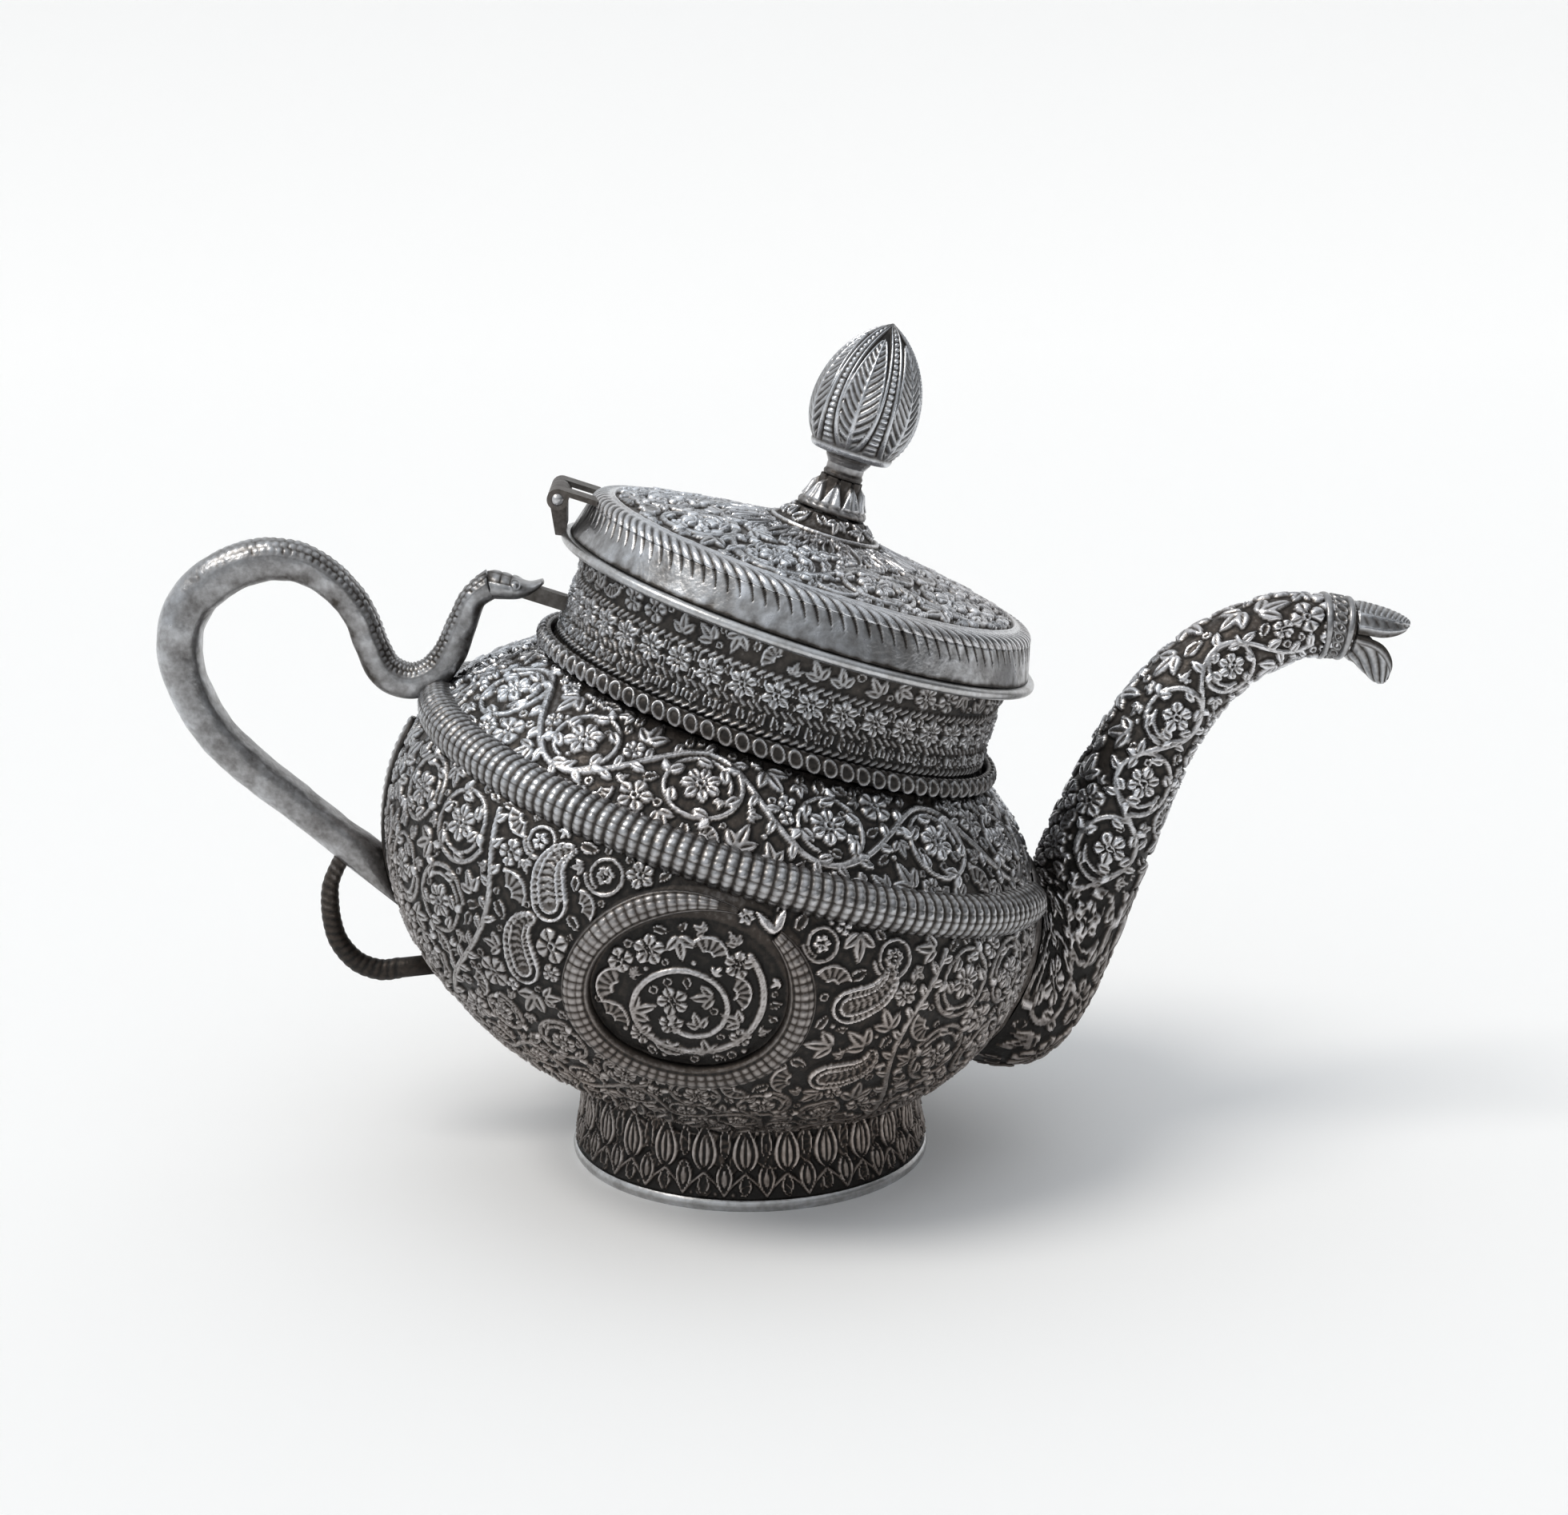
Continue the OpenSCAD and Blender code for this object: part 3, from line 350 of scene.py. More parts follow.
    def leaf_row(self, count, first, foot, tall, short, room):
        """Upright veined leaves from pitch first on, with a short one after each.

        tall and short are (length, half width, height), and room is the (y, radius) that they take."""
        pitch = self.width / count
        for i in range(count):
            x = (i + first) * pitch
            self.leaf(x, foot, UPRIGHT, *tall, vein=True)
            self.leaf(x + pitch / 2, foot, UPRIGHT, *short)
            self.take(x, *room)

    def filler(self, x, y, r, height, kind, turn):
        """One motif in a free disc. kind, from 0 to 1, says which of those that suit its size."""
        if r > 2.1 and kind < 0.26:
            self.rosette(x, y, r, height, 4 + int(kind * 8), turn)
        elif r > 2.1 and kind >= 0.72:
            self.fan(x, y, r * 0.95, height, turn)
        elif r > 2.1 or (r > 1.2 and kind < 0.5):
            self.spray(x, y, r, height, turn)
        elif r > 1.2 and kind < 0.6:
            self.rosette(x, y, r, height, 4, turn)
        elif r > 1.2:
            self.leaf(*self.ahead(x, y, turn, -r), turn, 2 * r, r * 0.6, height)
            self.take(x, y, r)
        else:
            if kind < 0.5:
                self.knob(x, y, r * 0.85, height * 0.75, pit=r > 0.8)
            self.take(x, y, r)

    def fill(self, seed, height=0.9, small=0.75):
        """Sets flowers, leaves and pellets into whatever space is left, the widest first."""
        rng = np.random.default_rng(seed)
        spread, large = 0.3, 3.3
        jitter = rng.random(self.free.shape) * spread
        while True:
            iy, ix = divmod(int(np.argmax(self.free - jitter)), self.free_nx)
            room = self.free[iy, ix]
            if room - jitter[iy, ix] < small - spread:
                break
            if room < small:
                jitter[iy, ix] = 9
                continue
            kind, turn = rng.random(), rng.random() * 2 * math.pi
            self.filler(ix * self.free_dx, self.low + iy * self.free_dy, min(room * 0.98, large),
                        height, kind, turn)

    def wear_and_shade(self, floor=0.21):
        """How far each point is rubbed bright: high points shine, and the feet of steep sides are dark."""
        soft = self.h
        for _ in range(4):
            soft = (np.roll(soft, 1, 1) + 2 * soft + np.roll(soft, -1, 1)) / 4
            soft = (np.vstack([soft[:1], soft[:-1]]) + 2 * soft + np.vstack([soft[1:], soft[-1:]])) / 4
        proud = self.h - soft
        return np.clip(floor + 0.47 * self.h + np.where(proud > 0, 0.9, 1.9) * proud, 0, 1)


# ---- meshes ----
MESH_UV = "OFBake"


def skin(name, node, rings, wear_and_shade, material, body="pot", tube=False):
    """A closed mesh through rings of world points, in place of a CAD node.

    A tube's last ring meets its first one. Otherwise a fan closes the first ring and the last one."""
    rings = np.asarray(rings, float)
    m, n = rings.shape[:2]
    wear_and_shade = np.broadcast_to(wear_and_shade, (m, n))
    co, value = rings.reshape(-1, 3), wear_and_shade.reshape(-1)
    row, col = np.meshgrid(np.arange(m if tube else m - 1), np.arange(n), indexing="ij")
    nxt, over = (row + 1) % m, (col + 1) % n
    quads = np.stack([row * n + col, row * n + over, nxt * n + over, nxt * n + col], -1).reshape(-1, 4)
    uv = np.stack([np.stack([col, col + 1, col + 1, col], -1) / n,
                   np.stack([row, row, row + 1, row + 1], -1) / m], -1).reshape(-1, 4, 2)
    tris, tri_uv = np.zeros((0, 3), int), np.zeros((0, 3, 2))
    if not tube:
        ends = np.stack([rings[0].mean(0), rings[-1].mean(0)])
        co = np.vstack([co, ends])
        value = np.append(value, [wear_and_shade[0].mean(), wear_and_shade[-1].mean()])
        c = np.arange(n)
        first = np.stack([np.full(n, m * n), (c + 1) % n, c], -1)
        last = np.stack([np.full(n, m * n + 1), (m - 1) * n + c, (m - 1) * n + (c + 1) % n], -1)
        tris = np.vstack([first, last])
        lone = np.stack([c + 0.5, c + 1.0, c + 0.0], -1) / n
        tri_uv = np.vstack([np.stack([lone, np.tile([0.0, 0.4 / m, 0.4 / m], (n, 1))], -1),
                            np.stack([lone, np.tile([1.0, 1 - 0.4 / m, 1 - 0.4 / m], (n, 1))], -1)])
        uv[..., 1] = 0.5 / m + uv[..., 1] * (1 - 1 / m)
    a, b, c, d = (co[quads[:, i]] for i in range(4))
    volume = np.einsum("ij,ij->", a, np.cross(b, c)) + np.einsum("ij,ij->", a, np.cross(c, d))
    if volume < 0:
        quads, uv, tris, tri_uv = quads[:, ::-1], uv[:, ::-1], tris[:, ::-1], tri_uv[:, ::-1]
    corners = np.concatenate([quads.ravel(), tris.ravel()])
    mesh = bpy.data.meshes.new(name)
    mesh.vertices.add(len(co))
    mesh.vertices.foreach_set("co", co.ravel())
    mesh.loops.add(len(corners))
    mesh.loops.foreach_set("vertex_index", corners.astype(np.int32))
    mesh.polygons.add(len(quads) + len(tris))
    starts = np.concatenate([4 * np.arange(len(quads)), 4 * len(quads) + 3 * np.arange(len(tris))])
    mesh.polygons.foreach_set("loop_start", starts.astype(np.int32))
    mesh.update(calc_edges=True)
    mesh.uv_layers.new(name=MESH_UV).data.foreach_set(
        "uv", np.concatenate([uv.reshape(-1, 2), tri_uv.reshape(-1, 2)]).ravel())
    # This per-point attribute sets how light each point is: rubbed highs and oxide in hollows, and on the
    # handle, the head and the lid band also painted shade.
    mesh.attributes.new("wear_and_shade", "FLOAT", "POINT").data.foreach_set("value", value)
    mesh.polygons.foreach_set("use_smooth", np.ones(len(mesh.polygons), bool))
    mesh.materials.append(material)
    piece = bpy.data.objects.new(name, mesh)
    bpy.context.scene.collection.objects.link(piece)
    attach(piece, body)
    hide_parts(node)


def shell(name, node, outer, inner, wear_and_shade, inner_wear, material, body="pot"):
    """A closed wall: rings along its outside, and then back along its inside."""
    wear_and_shade = np.concatenate([wear_and_shade, np.full(inner.shape[:2], inner_wear)])
    skin(name, node, np.concatenate([outer, inner]), wear_and_shade, material, body, tube=True)


def patch_on_wall(name, node, phi, s, high, wear_and_shade):
    """A plate on the wall: its outer face lies high above the wall, its plain face a little below it."""
    low = wall(phi[:, ::-1], s[:, ::-1], -0.3)
    skin(name, node, np.concatenate([wall(phi, s, high), low], 1),
         np.concatenate([wear_and_shade, np.full_like(wear_and_shade, 0.1)], 1), CHASED)


def lengths(points):
    """Length of a polyline up to each of its points, in their first two coordinates."""
    return np.concatenate([[0], np.cumsum(np.hypot(*np.diff(points[:, :2], axis=0).T))])


def profile(points, step):
    """A polyline (r, h) cut into even steps, with the normals to its right and its arc lengths."""
    p = np.asarray(points, float)
    length = lengths(p)
    s = np.linspace(0, length[-1], int(round(length[-1] / step)) + 1)
    q = np.stack([np.interp(s, length, p[:, 0]), np.interp(s, length, p[:, 1])], -1)
    d = headings(q)
    return q, np.stack([d[:, 1], -d[:, 0]], -1), s


def arc(centre, r, a0, a1, steps=16):
    """Points of an arc between two angles in degrees."""
    a = np.radians(np.linspace(a0, a1, steps + 1))
    return [(centre[0] + r * math.cos(x), centre[1] + r * math.sin(x)) for x in a]


def around(n, shift=0.0):
    """n even angles of a full turn."""
    return 2 * math.pi * (np.arange(n) + shift) / n


def turned(points, normals, height):
    """Rings of world points of a profile (r, height over the rim), each moved out by its height."""
    r = points[:, :1] + normals[:, :1] * height
    t = RIM_T + points[:, 1:] + normals[:, 1:] * height
    return spun(r, around(height.shape[1])[None], t)


def smooth(stations, steps):
    """A Catmull-Rom curve through stations of any width."""
    p = np.asarray(stations, float)
    p = np.vstack([2 * p[0] - p[1], p, 2 * p[-1] - p[-2]])
    x = np.linspace(0, 1, steps, endpoint=False)[:, None]
    out = [0.5 * (2 * b + (c - a) * x + (2 * a - 5 * b + 4 * c - d) * x ** 2
                  + (3 * b - a - 3 * c + d) * x ** 3)
           for a, b, c, d in zip(p[:-3], p[1:-2], p[2:-1], p[3:])]
    return np.vstack(out + [p[-2:-1]])


def evenly(curve, step):
    """The curve cut again into even steps along its first two coordinates, and its arc length."""
    length = lengths(curve)
    s = np.linspace(0, length[-1], int(length[-1] / step) + 2)
    return np.stack([np.interp(s, length, curve[:, i]) for i in range(curve.shape[1])], -1), s


def headings(curve):
    """Unit directions along a curve in its first two coordinates."""
    d = np.gradient(curve[:, :2], axis=0)
    return d / np.hypot(d[:, 0], d[:, 1])[:, None]


def sweep(curve, n, square, grow):
    """Rings (u, v, t) along a curve of stations (u, t, half thickness, half width), made larger by grow.

    square is the power of the section's lower half: 2 is an ellipse, and more is boxier."""
    w = around(n, 0.5)
    power = np.where(np.sin(w) >= 0, 2.0, square)
    up = np.sign(np.sin(w)) * np.abs(np.sin(w)) ** (2 / power)
    side = np.sign(np.cos(w)) * np.abs(np.cos(w)) ** (2 / power)
    d = headings(curve)
    grow = np.broadcast_to(grow, (len(curve), n))
    a, b = up * (curve[:, 2:3] + grow), side * (curve[:, 3:4] + grow)
    return np.stack([curve[:, :1] - d[:, 1:] * a, b, curve[:, 1:2] + d[:, :1] * a], -1)


def to_world(rings):
    """Rings (u, v, t) as world points."""
    return world(rings[..., 0], rings[..., 1], rings[..., 2])


# ---- materials: silver with dark oxide in its cuts ----
def silver(name, ramp, rough, grain=1.0, warm=0.3, steady=None, low_shade=0.0, patchy=0.36):
    """Oxidised silver. A per-point attribute, or one steady value, says how light the colour is: rubbed
    bright, dark with oxide, and on some pieces darkened as painted shade.

    The argument after steady paints shade by height: darker and browner toward the foot, a little lighter
    toward the top. patchy is how much the colour varies."""
    m = bpy.data.materials.new(name)
    m.use_nodes = True
    nodes, links = m.node_tree.nodes, m.node_tree.links
    shader = nodes["Principled BSDF"]
    coord = nodes.new("ShaderNodeTexCoord").outputs["Object"]

    def noise(scale, detail):
        n = nodes.new("ShaderNodeTexNoise")
        n.inputs["Scale"].default_value = scale
        n.inputs["Detail"].default_value = detail
        links.new(coord, n.inputs["Vector"])
        return n.outputs["Fac"]

    def maths(kind, a, b, c=None):
        n = nodes.new("ShaderNodeMath")
        n.operation = kind
        for i, x in enumerate((a, b, c)):
            if isinstance(x, (int, float)):
                n.inputs[i].default_value = x
            elif x is not None:
                links.new(x, n.inputs[i])
        return n.outputs[0]

    def spread(value, source, target):
        n = nodes.new("ShaderNodeMapRange")
        links.new(value, n.inputs["Value"])
        n.inputs["From Min"].default_value, n.inputs["From Max"].default_value = source
        n.inputs["To Min"].default_value, n.inputs["To Max"].default_value = target
        return n.outputs["Result"]

    if steady is None:
        # Reads the per-point lightness: rubbed highs, oxide in hollows, and in places painted shade.
        n = nodes.new("ShaderNodeAttribute")
        n.attribute_name = "wear_and_shade"
        bright = n.outputs["Fac"]
    else:
        bright = maths("MULTIPLY_ADD", noise(140, 4), 0.5, steady - 0.25)
    patch = maths("MULTIPLY_ADD", noise(38, 5), patchy, -patchy / 2)
    speck = maths("MULTIPLY_ADD", noise(900, 3), 0.36, -0.18)
    level = maths("ADD", maths("ADD", bright, patch), speck)
    brown = maths("MULTIPLY", spread(noise(22, 3), (0.43, 0.7), (0.0, 1.0)), warm)
    # Painted shade and light by height: darker and browner toward the foot, a little lighter toward the top.
    if low_shade:
        height = nodes.new("ShaderNodeSeparateXYZ")
        links.new(coord, height.inputs[0])
        level = maths("SUBTRACT", level, spread(height.outputs["Z"], (0.01, 0.11), (low_shade, -0.25 * low_shade)))
        brown = maths("ADD", brown, spread(height.outputs["Z"], (0.02, 0.09), (1.6 * low_shade, 0.0)))
    colour = nodes.new("ShaderNodeValToRGB")
    elements = colour.color_ramp.elements
    for i, (at, rgb) in enumerate(ramp):
        e = elements[i] if i < 2 else elements.new(at)
        e.position, e.color = at, (*rgb, 1)
    links.new(level, colour.inputs["Fac"])
    tint = nodes.new("ShaderNodeMix")
    tint.data_type, tint.blend_type = "RGBA", "MULTIPLY"
    links.new(brown, tint.inputs["Factor"])
    links.new(colour.outputs["Color"], tint.inputs["A"])
    tint.inputs["B"].default_value = (0.92, 0.76, 0.65, 1)
    links.new(tint.outputs["Result"], shader.inputs["Base Color"])
    links.new(spread(level, (0.0, 1.0), rough), shader.inputs["Roughness"])
    links.new(spread(level, (0.0, 0.5), (0.5, 1.0)), shader.inputs["Metallic"])
    bump = nodes.new("ShaderNodeBump")
    bump.inputs["Strength"].default_value = 0.4 * grain
    bump.inputs["Distance"].default_value = 0.0003
    links.new(maths("ADD", noise(1300, 3), maths("MULTIPLY", noise(350, 2), 0.8)), bump.inputs["Height"])
    links.new(bump.outputs["Normal"], shader.inputs["Normal"])
    return m


DARK, EARTH = (0.01, 0.009, 0.008), (0.062, 0.054, 0.048)
MID, PALE = (0.33, 0.33, 0.335), (0.85, 0.88, 0.93)
CHASED = silver("chased_silver", [(0.0, DARK), (1.0, PALE), (0.24, EARTH), (0.55, MID)],
                rough=(0.52, 0.2), warm=0.4, low_shade=0.34)
WORN = silver("worn_silver", [(0.0, DARK), (1.0, PALE), (0.2, EARTH), (0.5, MID)],
              rough=(0.46, 0.18), grain=0.7, warm=0.12, low_shade=0.12, patchy=0.1)
PLAIN = silver("plain_silver",
               [(0.0, DARK), (1.0, PALE), (0.25, (0.13, 0.12, 0.115)), (0.55, (0.44, 0.44, 0.44))],
               rough=(0.44, 0.22), grain=0.6, warm=0.15, steady=0.6, patchy=0.2)
# SHADE is painted shade: a dimmer copy of the silver for small parts that sit in shadow.
SHADE = silver("shaded_silver", [(0.0, DARK), (1.0, (0.5, 0.5, 0.5)), (0.35, EARTH), (0.7, (0.2, 0.19, 0.18))],
               rough=(0.6, 0.4), steady=0.5)

# ---- bowl: vines, paisleys and the medallion's disc, the same on both sides ----
STEP = 0.34
MEDAL_A, MEDAL_B, MEDAL_DROP = 21.0, 18.4, 9.0
FULLNESS = 1.15  # how much larger the disc's motifs are than the gaps measured for them
SIDES = ((math.radians(267), 1), (math.radians(93), -1))
BOWL_POLE_S, BOWL_RELIEF_S, BOWL_TOP_S, BOWL_RIM_S = -94.5, -58.0, 13.0, 16.3


def share(s):
    """The wall's girth at arc length s as a share of its widest."""
    return float(outline(s)[0]) / BODY_R


def tilted(p, q):
    """A point of the upright medallion as ways round and up the leaning wall."""
    return p * math.cos(LEAN) - q * math.sin(LEAN), p * math.sin(LEAN) + q * math.cos(LEAN) - MEDAL_DROP


def medallion_disc(f, at, hand):
    """Inside the serpent: a plain moat, and a vine that curls in over one and a half turns."""
    def spot(p, q):
        return at(*tilted(p, q))

    def heading(angle):
        return math.radians(angle) + LEAN if hand > 0 else math.pi - math.radians(angle) - LEAN

    full = np.linspace(0, 2 * math.pi, 61)
    f.line([spot(MEDAL_A * math.cos(w), MEDAL_B * math.sin(w)) for w in full], 3.0, 0.3)
    k = np.linspace(0, 1, 90)
    w, r = math.radians(38) - k * math.radians(585), 14.6 * (1 - 0.78 * k)
    f.line([spot(x, y) for x, y in zip(0.4 * k + r * np.cos(w), -4.2 * k + 0.9 * r * np.sin(w))],
           0.8, 1.1, 0.7, groove=0.35)
    for p, q, r, kind in ((-7, 9.4, 2.5, 0), (-1.2, 9.8, 2.4, 1), (4.2, 9.6, 2.4, 2), (9.2, 6.6, 2.2, 0),
                          (9.3, 1.2, 2.4, 2), (7.9, -4.2, 2.1, 1), (9.5, -8.4, 1.8, 0), (2.9, -10.6, 2.1, 1),
                          (-3.4, -10.6, 2.3, 2), (-8.8, -8.3, 2.1, 0), (-8.3, -2.6, 2.5, 1),
                          (-2.8, -0.6, 2.5, 0), (1.5, -4.6, 1.9, 1), (-3.2, -5.6, 2.0, 0)):
        r *= FULLNESS
        outward = math.degrees(math.atan2(q, p))
        if kind == 0:
            f.rosette(*spot(p, q), r, 1.0, 5, p)
        elif kind == 1:
            f.spray(*spot(p, q), r, 1.0, heading(outward + 180))
        else:
            f.fan(*spot(p, q), r, 1.0, heading(outward))
    # the serpent's ears, and a flower in the gap before its tail
    for turn in (64, 128):
        f.leaf(*spot(15.9, 12.2), heading(turn), 5.4, 1.0, 1.25, hollow=False)
    f.rosette(*spot(10.8, 15.6), 1.5, 0.9, 6)


def bowl_relief():
    """The bowl's ornament. What the front has in its middle is mirrored on the back."""
    f = Strip(2 * math.pi * BODY_R, BOWL_RELIEF_S, BOWL_TOP_S, STEP, share)
    for phi0, hand in SIDES:
        def at(a, s):
            return BODY_R * phi0 + hand * a / f.narrow(s), s

        def turn(angle):
            angle = math.radians(angle)
            return angle if hand > 0 else math.pi - angle

        medallion_disc(f, at, hand)
        # two paisleys on each side of the medallion
        f.paisley(*at(-30, -1.5), turn(118), 13, 4.0, 1.25, -hand)
        f.paisley(*at(-31, -16), turn(122), 12.5, 4.0, 1.25, -hand)
        f.paisley(*at(29.5, -3), turn(24), 13, 3.8, 1.25, hand)
        f.paisley(*at(30.5, -19.5), turn(18), 12, 3.8, 1.25, hand)
        # upright stems that throw out large curls
        for side, x0 in ((-1, -45.0), (1, 46.0)):
            stem = [at(x0 + side * (2.2 * math.sin(q / 6.5)), q) for q in np.linspace(-35, 10, 60)]
            f.line(stem, 0.8, 1.0, 0.7, groove=0.35)
            for dx, s, r, a0, way in ((10.5, 4.0, 7.6, 200, 1), (10.5, -12.5, 7.4, 160, -1),
                                      (27, 4.5, 7.4, 180, -1), (27, -12, 7.4, 180, 1),
                                      (11, -28.5, 6.6, 150, 1), (27, -28, 6.6, 170, -1)):
                angle = turn(a0 if side > 0 else 180 - a0)
                f.spiral(*at(x0 + side * dx, s), r, angle, way * hand * side, 1.3)
            f.sprigs(stem, 2.2, 3.2, 1.1)
        for a, s, r in ((-21.5, 7.6, 3.8), (20.5, 7.8, 3.6), (36, 7.6, 4.2), (-36, 8.4, 3.4)):
            f.spiral(*at(a, s), r, turn(200), hand, 1.15, 0.5)
        for a, s, r, way in ((-19, -31, 5.6, 1), (-6, -33.5, 5.2, -1), (8, -33.5, 5.4, 1),
                             (21, -32, 5.4, -1), (34, -31.5, 4.6, 1), (-33, -30.5, 4.8, -1)):
            f.spiral(*at(a, s), r, turn(90), way * hand, 1.25)
    # a running vine under them, and a row of leaves that rises from the foot
    f.scroll(-42.3, 4.6, 15, 0.5, 1.0, 5)
    f.leaf_row(44, 0.5, -57.5, (8.5, 1.9, 1.0), (5.4, 1.2, 0.7), (-53, 2.6))
    f.fill(5)
    return f


SINK = 0.45


def grained(shape, seed):
    """The punched ground between the motifs."""
    return 0.07 * np.random.default_rng(seed).random(shape) + hammered(shape, seed + 50, 0.05, 5)


def walled(name, node, f, lows, highs, inside, seed):
    """A sheet of the body, with its relief outside and a plain face inside.

    lows and highs are the plain stretches on both sides of the relief, and inside is the inner face."""
    phi = around(f.nx)[None]
    rows = f.low + np.arange(f.ny) * f.dy
    rings, wear_and_shade = [], []
    for s, off, rubbed in ((lows, -SINK, 0.3), (rows, f.h - SINK + grained(f.h.shape, seed), f.wear_and_shade()),
                           (highs, -SINK, 0.3), (inside, -SHEET, 0.38)):
        flat = np.zeros((len(s), f.nx))
        rings.append(wall(phi, s[:, None] + flat, off + flat))
        wear_and_shade.append(rubbed + flat)
    skin(name, node, np.concatenate(rings), np.concatenate(wear_and_shade), CHASED)


walled("bowl_chased", "bowl", bowl_relief(), np.linspace(BOWL_POLE_S, BOWL_RELIEF_S, 14)[:-1],
       np.array([BOWL_RIM_S]), np.linspace(BOWL_RIM_S, BOWL_POLE_S, 30), 1)

# ---- shoulder: one running vine of fourteen loops ----
SHOULDER_FOOT_S, SHOULDER_LOW, SHOULDER_HIGH, SHOULDER_RIM_S = 16.6, 18.5, 41.6, 42.0


def shoulder_relief():
    """The running vine under a row of small leaves."""
    f = Strip(2 * math.pi * BODY_R, SHOULDER_LOW, SHOULDER_HIGH, STEP, share)
    f.scroll(30.4, 8.4, 7, 0.7, 1.2)
    for i in range(28):
        x = (i + 0.5) * f.width / 28
        f.leaf(x, 38.2, UPRIGHT, 3.0, 0.8, 0.9)
        f.take(x, 39.6, 1.1)
    f.fill(11)
    return f


# skin closes this sheet with two flat fans across the pot, at the shoulder's foot
walled("shoulder_chased", "shoulder", shoulder_relief(), np.array([SHOULDER_FOOT_S]),
       np.array([SHOULDER_RIM_S]), np.linspace(SHOULDER_RIM_S, SHOULDER_FOOT_S, 12), 2)

# ---- the serpent that lies round the shoulder ----
BAND_T, BAND_W, BAND_PROUD, BAND_BREAK = 15.9, 8.6, 3.4, math.radians(11.9)
BAND_S = SHOULDER_SIDE_R * math.asin(BAND_T / SHOULDER_SIDE_R)
BAND_ARC_R = ((BAND_W / 2) ** 2 + BAND_PROUD ** 2) / (2 * BAND_PROUD)
RIBS, RIB_CELLS, BAND_ROWS = 172, 9, 56


def ribbed_band():
    """A half-round body with small ribs across it, cut into blocks along it."""
    x = np.linspace(0, 1, RIBS * RIB_CELLS + 1)
    phi = BAND_BREAK + x * (2 * math.pi - 2 * BAND_BREAK)
    w = np.linspace(-1, 1, BAND_ROWS)
    centre_r, centre_t = outline(BAND_S, BAND_PROUD - BAND_ARC_R)
    rib = np.abs(np.sin(math.pi * RIBS * x + 0.25 * np.sin(37 * x)))[:, None] ** 0.6
    blocks = np.abs(np.sin(math.pi * 4.5 * w + 0.2))[None] ** 0.35
    dents = hammered((len(x), BAND_ROWS), 61, 0.035, 3, closed=False)
    depth = 0.62 * rib * (0.62 + 0.38 * blocks) - 0.6 + dents
    end = np.clip(np.minimum(x, 1 - x) * 60, 0.25, 1)[:, None] ** 0.5
    a = math.asin(BAND_T / SHOULDER_SIDE_R) + w[None] * math.radians(96)
    r = centre_r + (BAND_ARC_R * end + depth) * np.cos(a)
    t = centre_t + (BAND_ARC_R * end + depth) * np.sin(a)
    wear_and_shade = 0.03 + 0.68 * rib ** 1.6 * (0.4 + 0.6 * blocks) * (1 - 0.6 * np.abs(w[None]) ** 3)
    skin("serpent_band_ribbed", "serpent_band", spun(r, phi[:, None], t), np.clip(wear_and_shade, 0, 1),
         WORN)


ribbed_band()

# ---- neck: rows of florets between fine ropes, and the ring of punched ovals below ----
NECK_FOOT_R, NECK_WAIST_R, NECK_WAIST_T, FLANGE_H = 46.2, 44.6, 46.5, 2.0
NECK_FOOT_T = math.sqrt(UP_R ** 2 - NECK_FOOT_R ** 2) - UP_K
NECK_SAG = NECK_FOOT_R - NECK_WAIST_R
NECK_R = ((NECK_WAIST_T - NECK_FOOT_T) ** 2 + NECK_SAG ** 2) / (2 * NECK_SAG)
NECK_H = RIM_T - FLANGE_H - NECK_FOOT_T


def neck_radius(t):
    """Radius of the neck's drawn-in wall at height t."""
    return NECK_WAIST_R + NECK_R - np.sqrt(NECK_R ** 2 - (t - NECK_WAIST_T) ** 2)


def chased_neck():
    """Three fine ropes, with leaves between the lower two and florets between the upper two."""
    f = Strip(2 * math.pi * NECK_WAIST_R, 0, NECK_H, 0.32)
    strands = 170
    for y, lean in ((4.2, 1), (8.6, -1), (15.0, 1)):
        for i in range(strands):
            x = i * f.width / strands
            f.line([(x - 0.5 * lean, y - 0.4), (x + 0.5 * lean, y + 0.4)], 0.42, 0.6)
    florets = 42
    pitch = f.width / florets
    for i in range(florets):
        x = i * pitch
        f.rosette(x, 11.8, 2.7, 1.1, 6, UPRIGHT)
        for side in (-1, 1):
            f.leaf(x + pitch / 2, 11.8 + side * 0.5, side * UPRIGHT, 2.6, 0.8, 0.95)
            f.leaf(x + side * pitch / 4, 5.1, UPRIGHT + 0.25 * side, 3.1, 0.8, 1.0)
        f.leaf(x + pitch / 2, 5.1, UPRIGHT, 2.9, 0.7, 0.9)
        f.take(x, 6.6, 1.4)
        f.take(x + pitch / 2, 11.8, 1.2)
    f.fill(21, 0.8, 0.8)
    phi = around(f.nx)[None]
    t = NECK_FOOT_T + np.arange(f.ny)[:, None] * f.dy
    t_in = np.linspace(NECK_FOOT_T + NECK_H, NECK_FOOT_T, 8)[:, None]
    shell("neck_chased", "neck_collar",
          spun(neck_radius(t) + f.h - SINK + 0.6 * grained(f.h.shape, 3), phi, t),
          spun(neck_radius(t_in) - SHEET, phi, t_in),
          f.wear_and_shade(floor=0.12) * 0.85, 0.38, CHASED)


chased_neck()

BEAD_H, BEAD_DEPTH, BEADS = 4.4, 2.9, 88


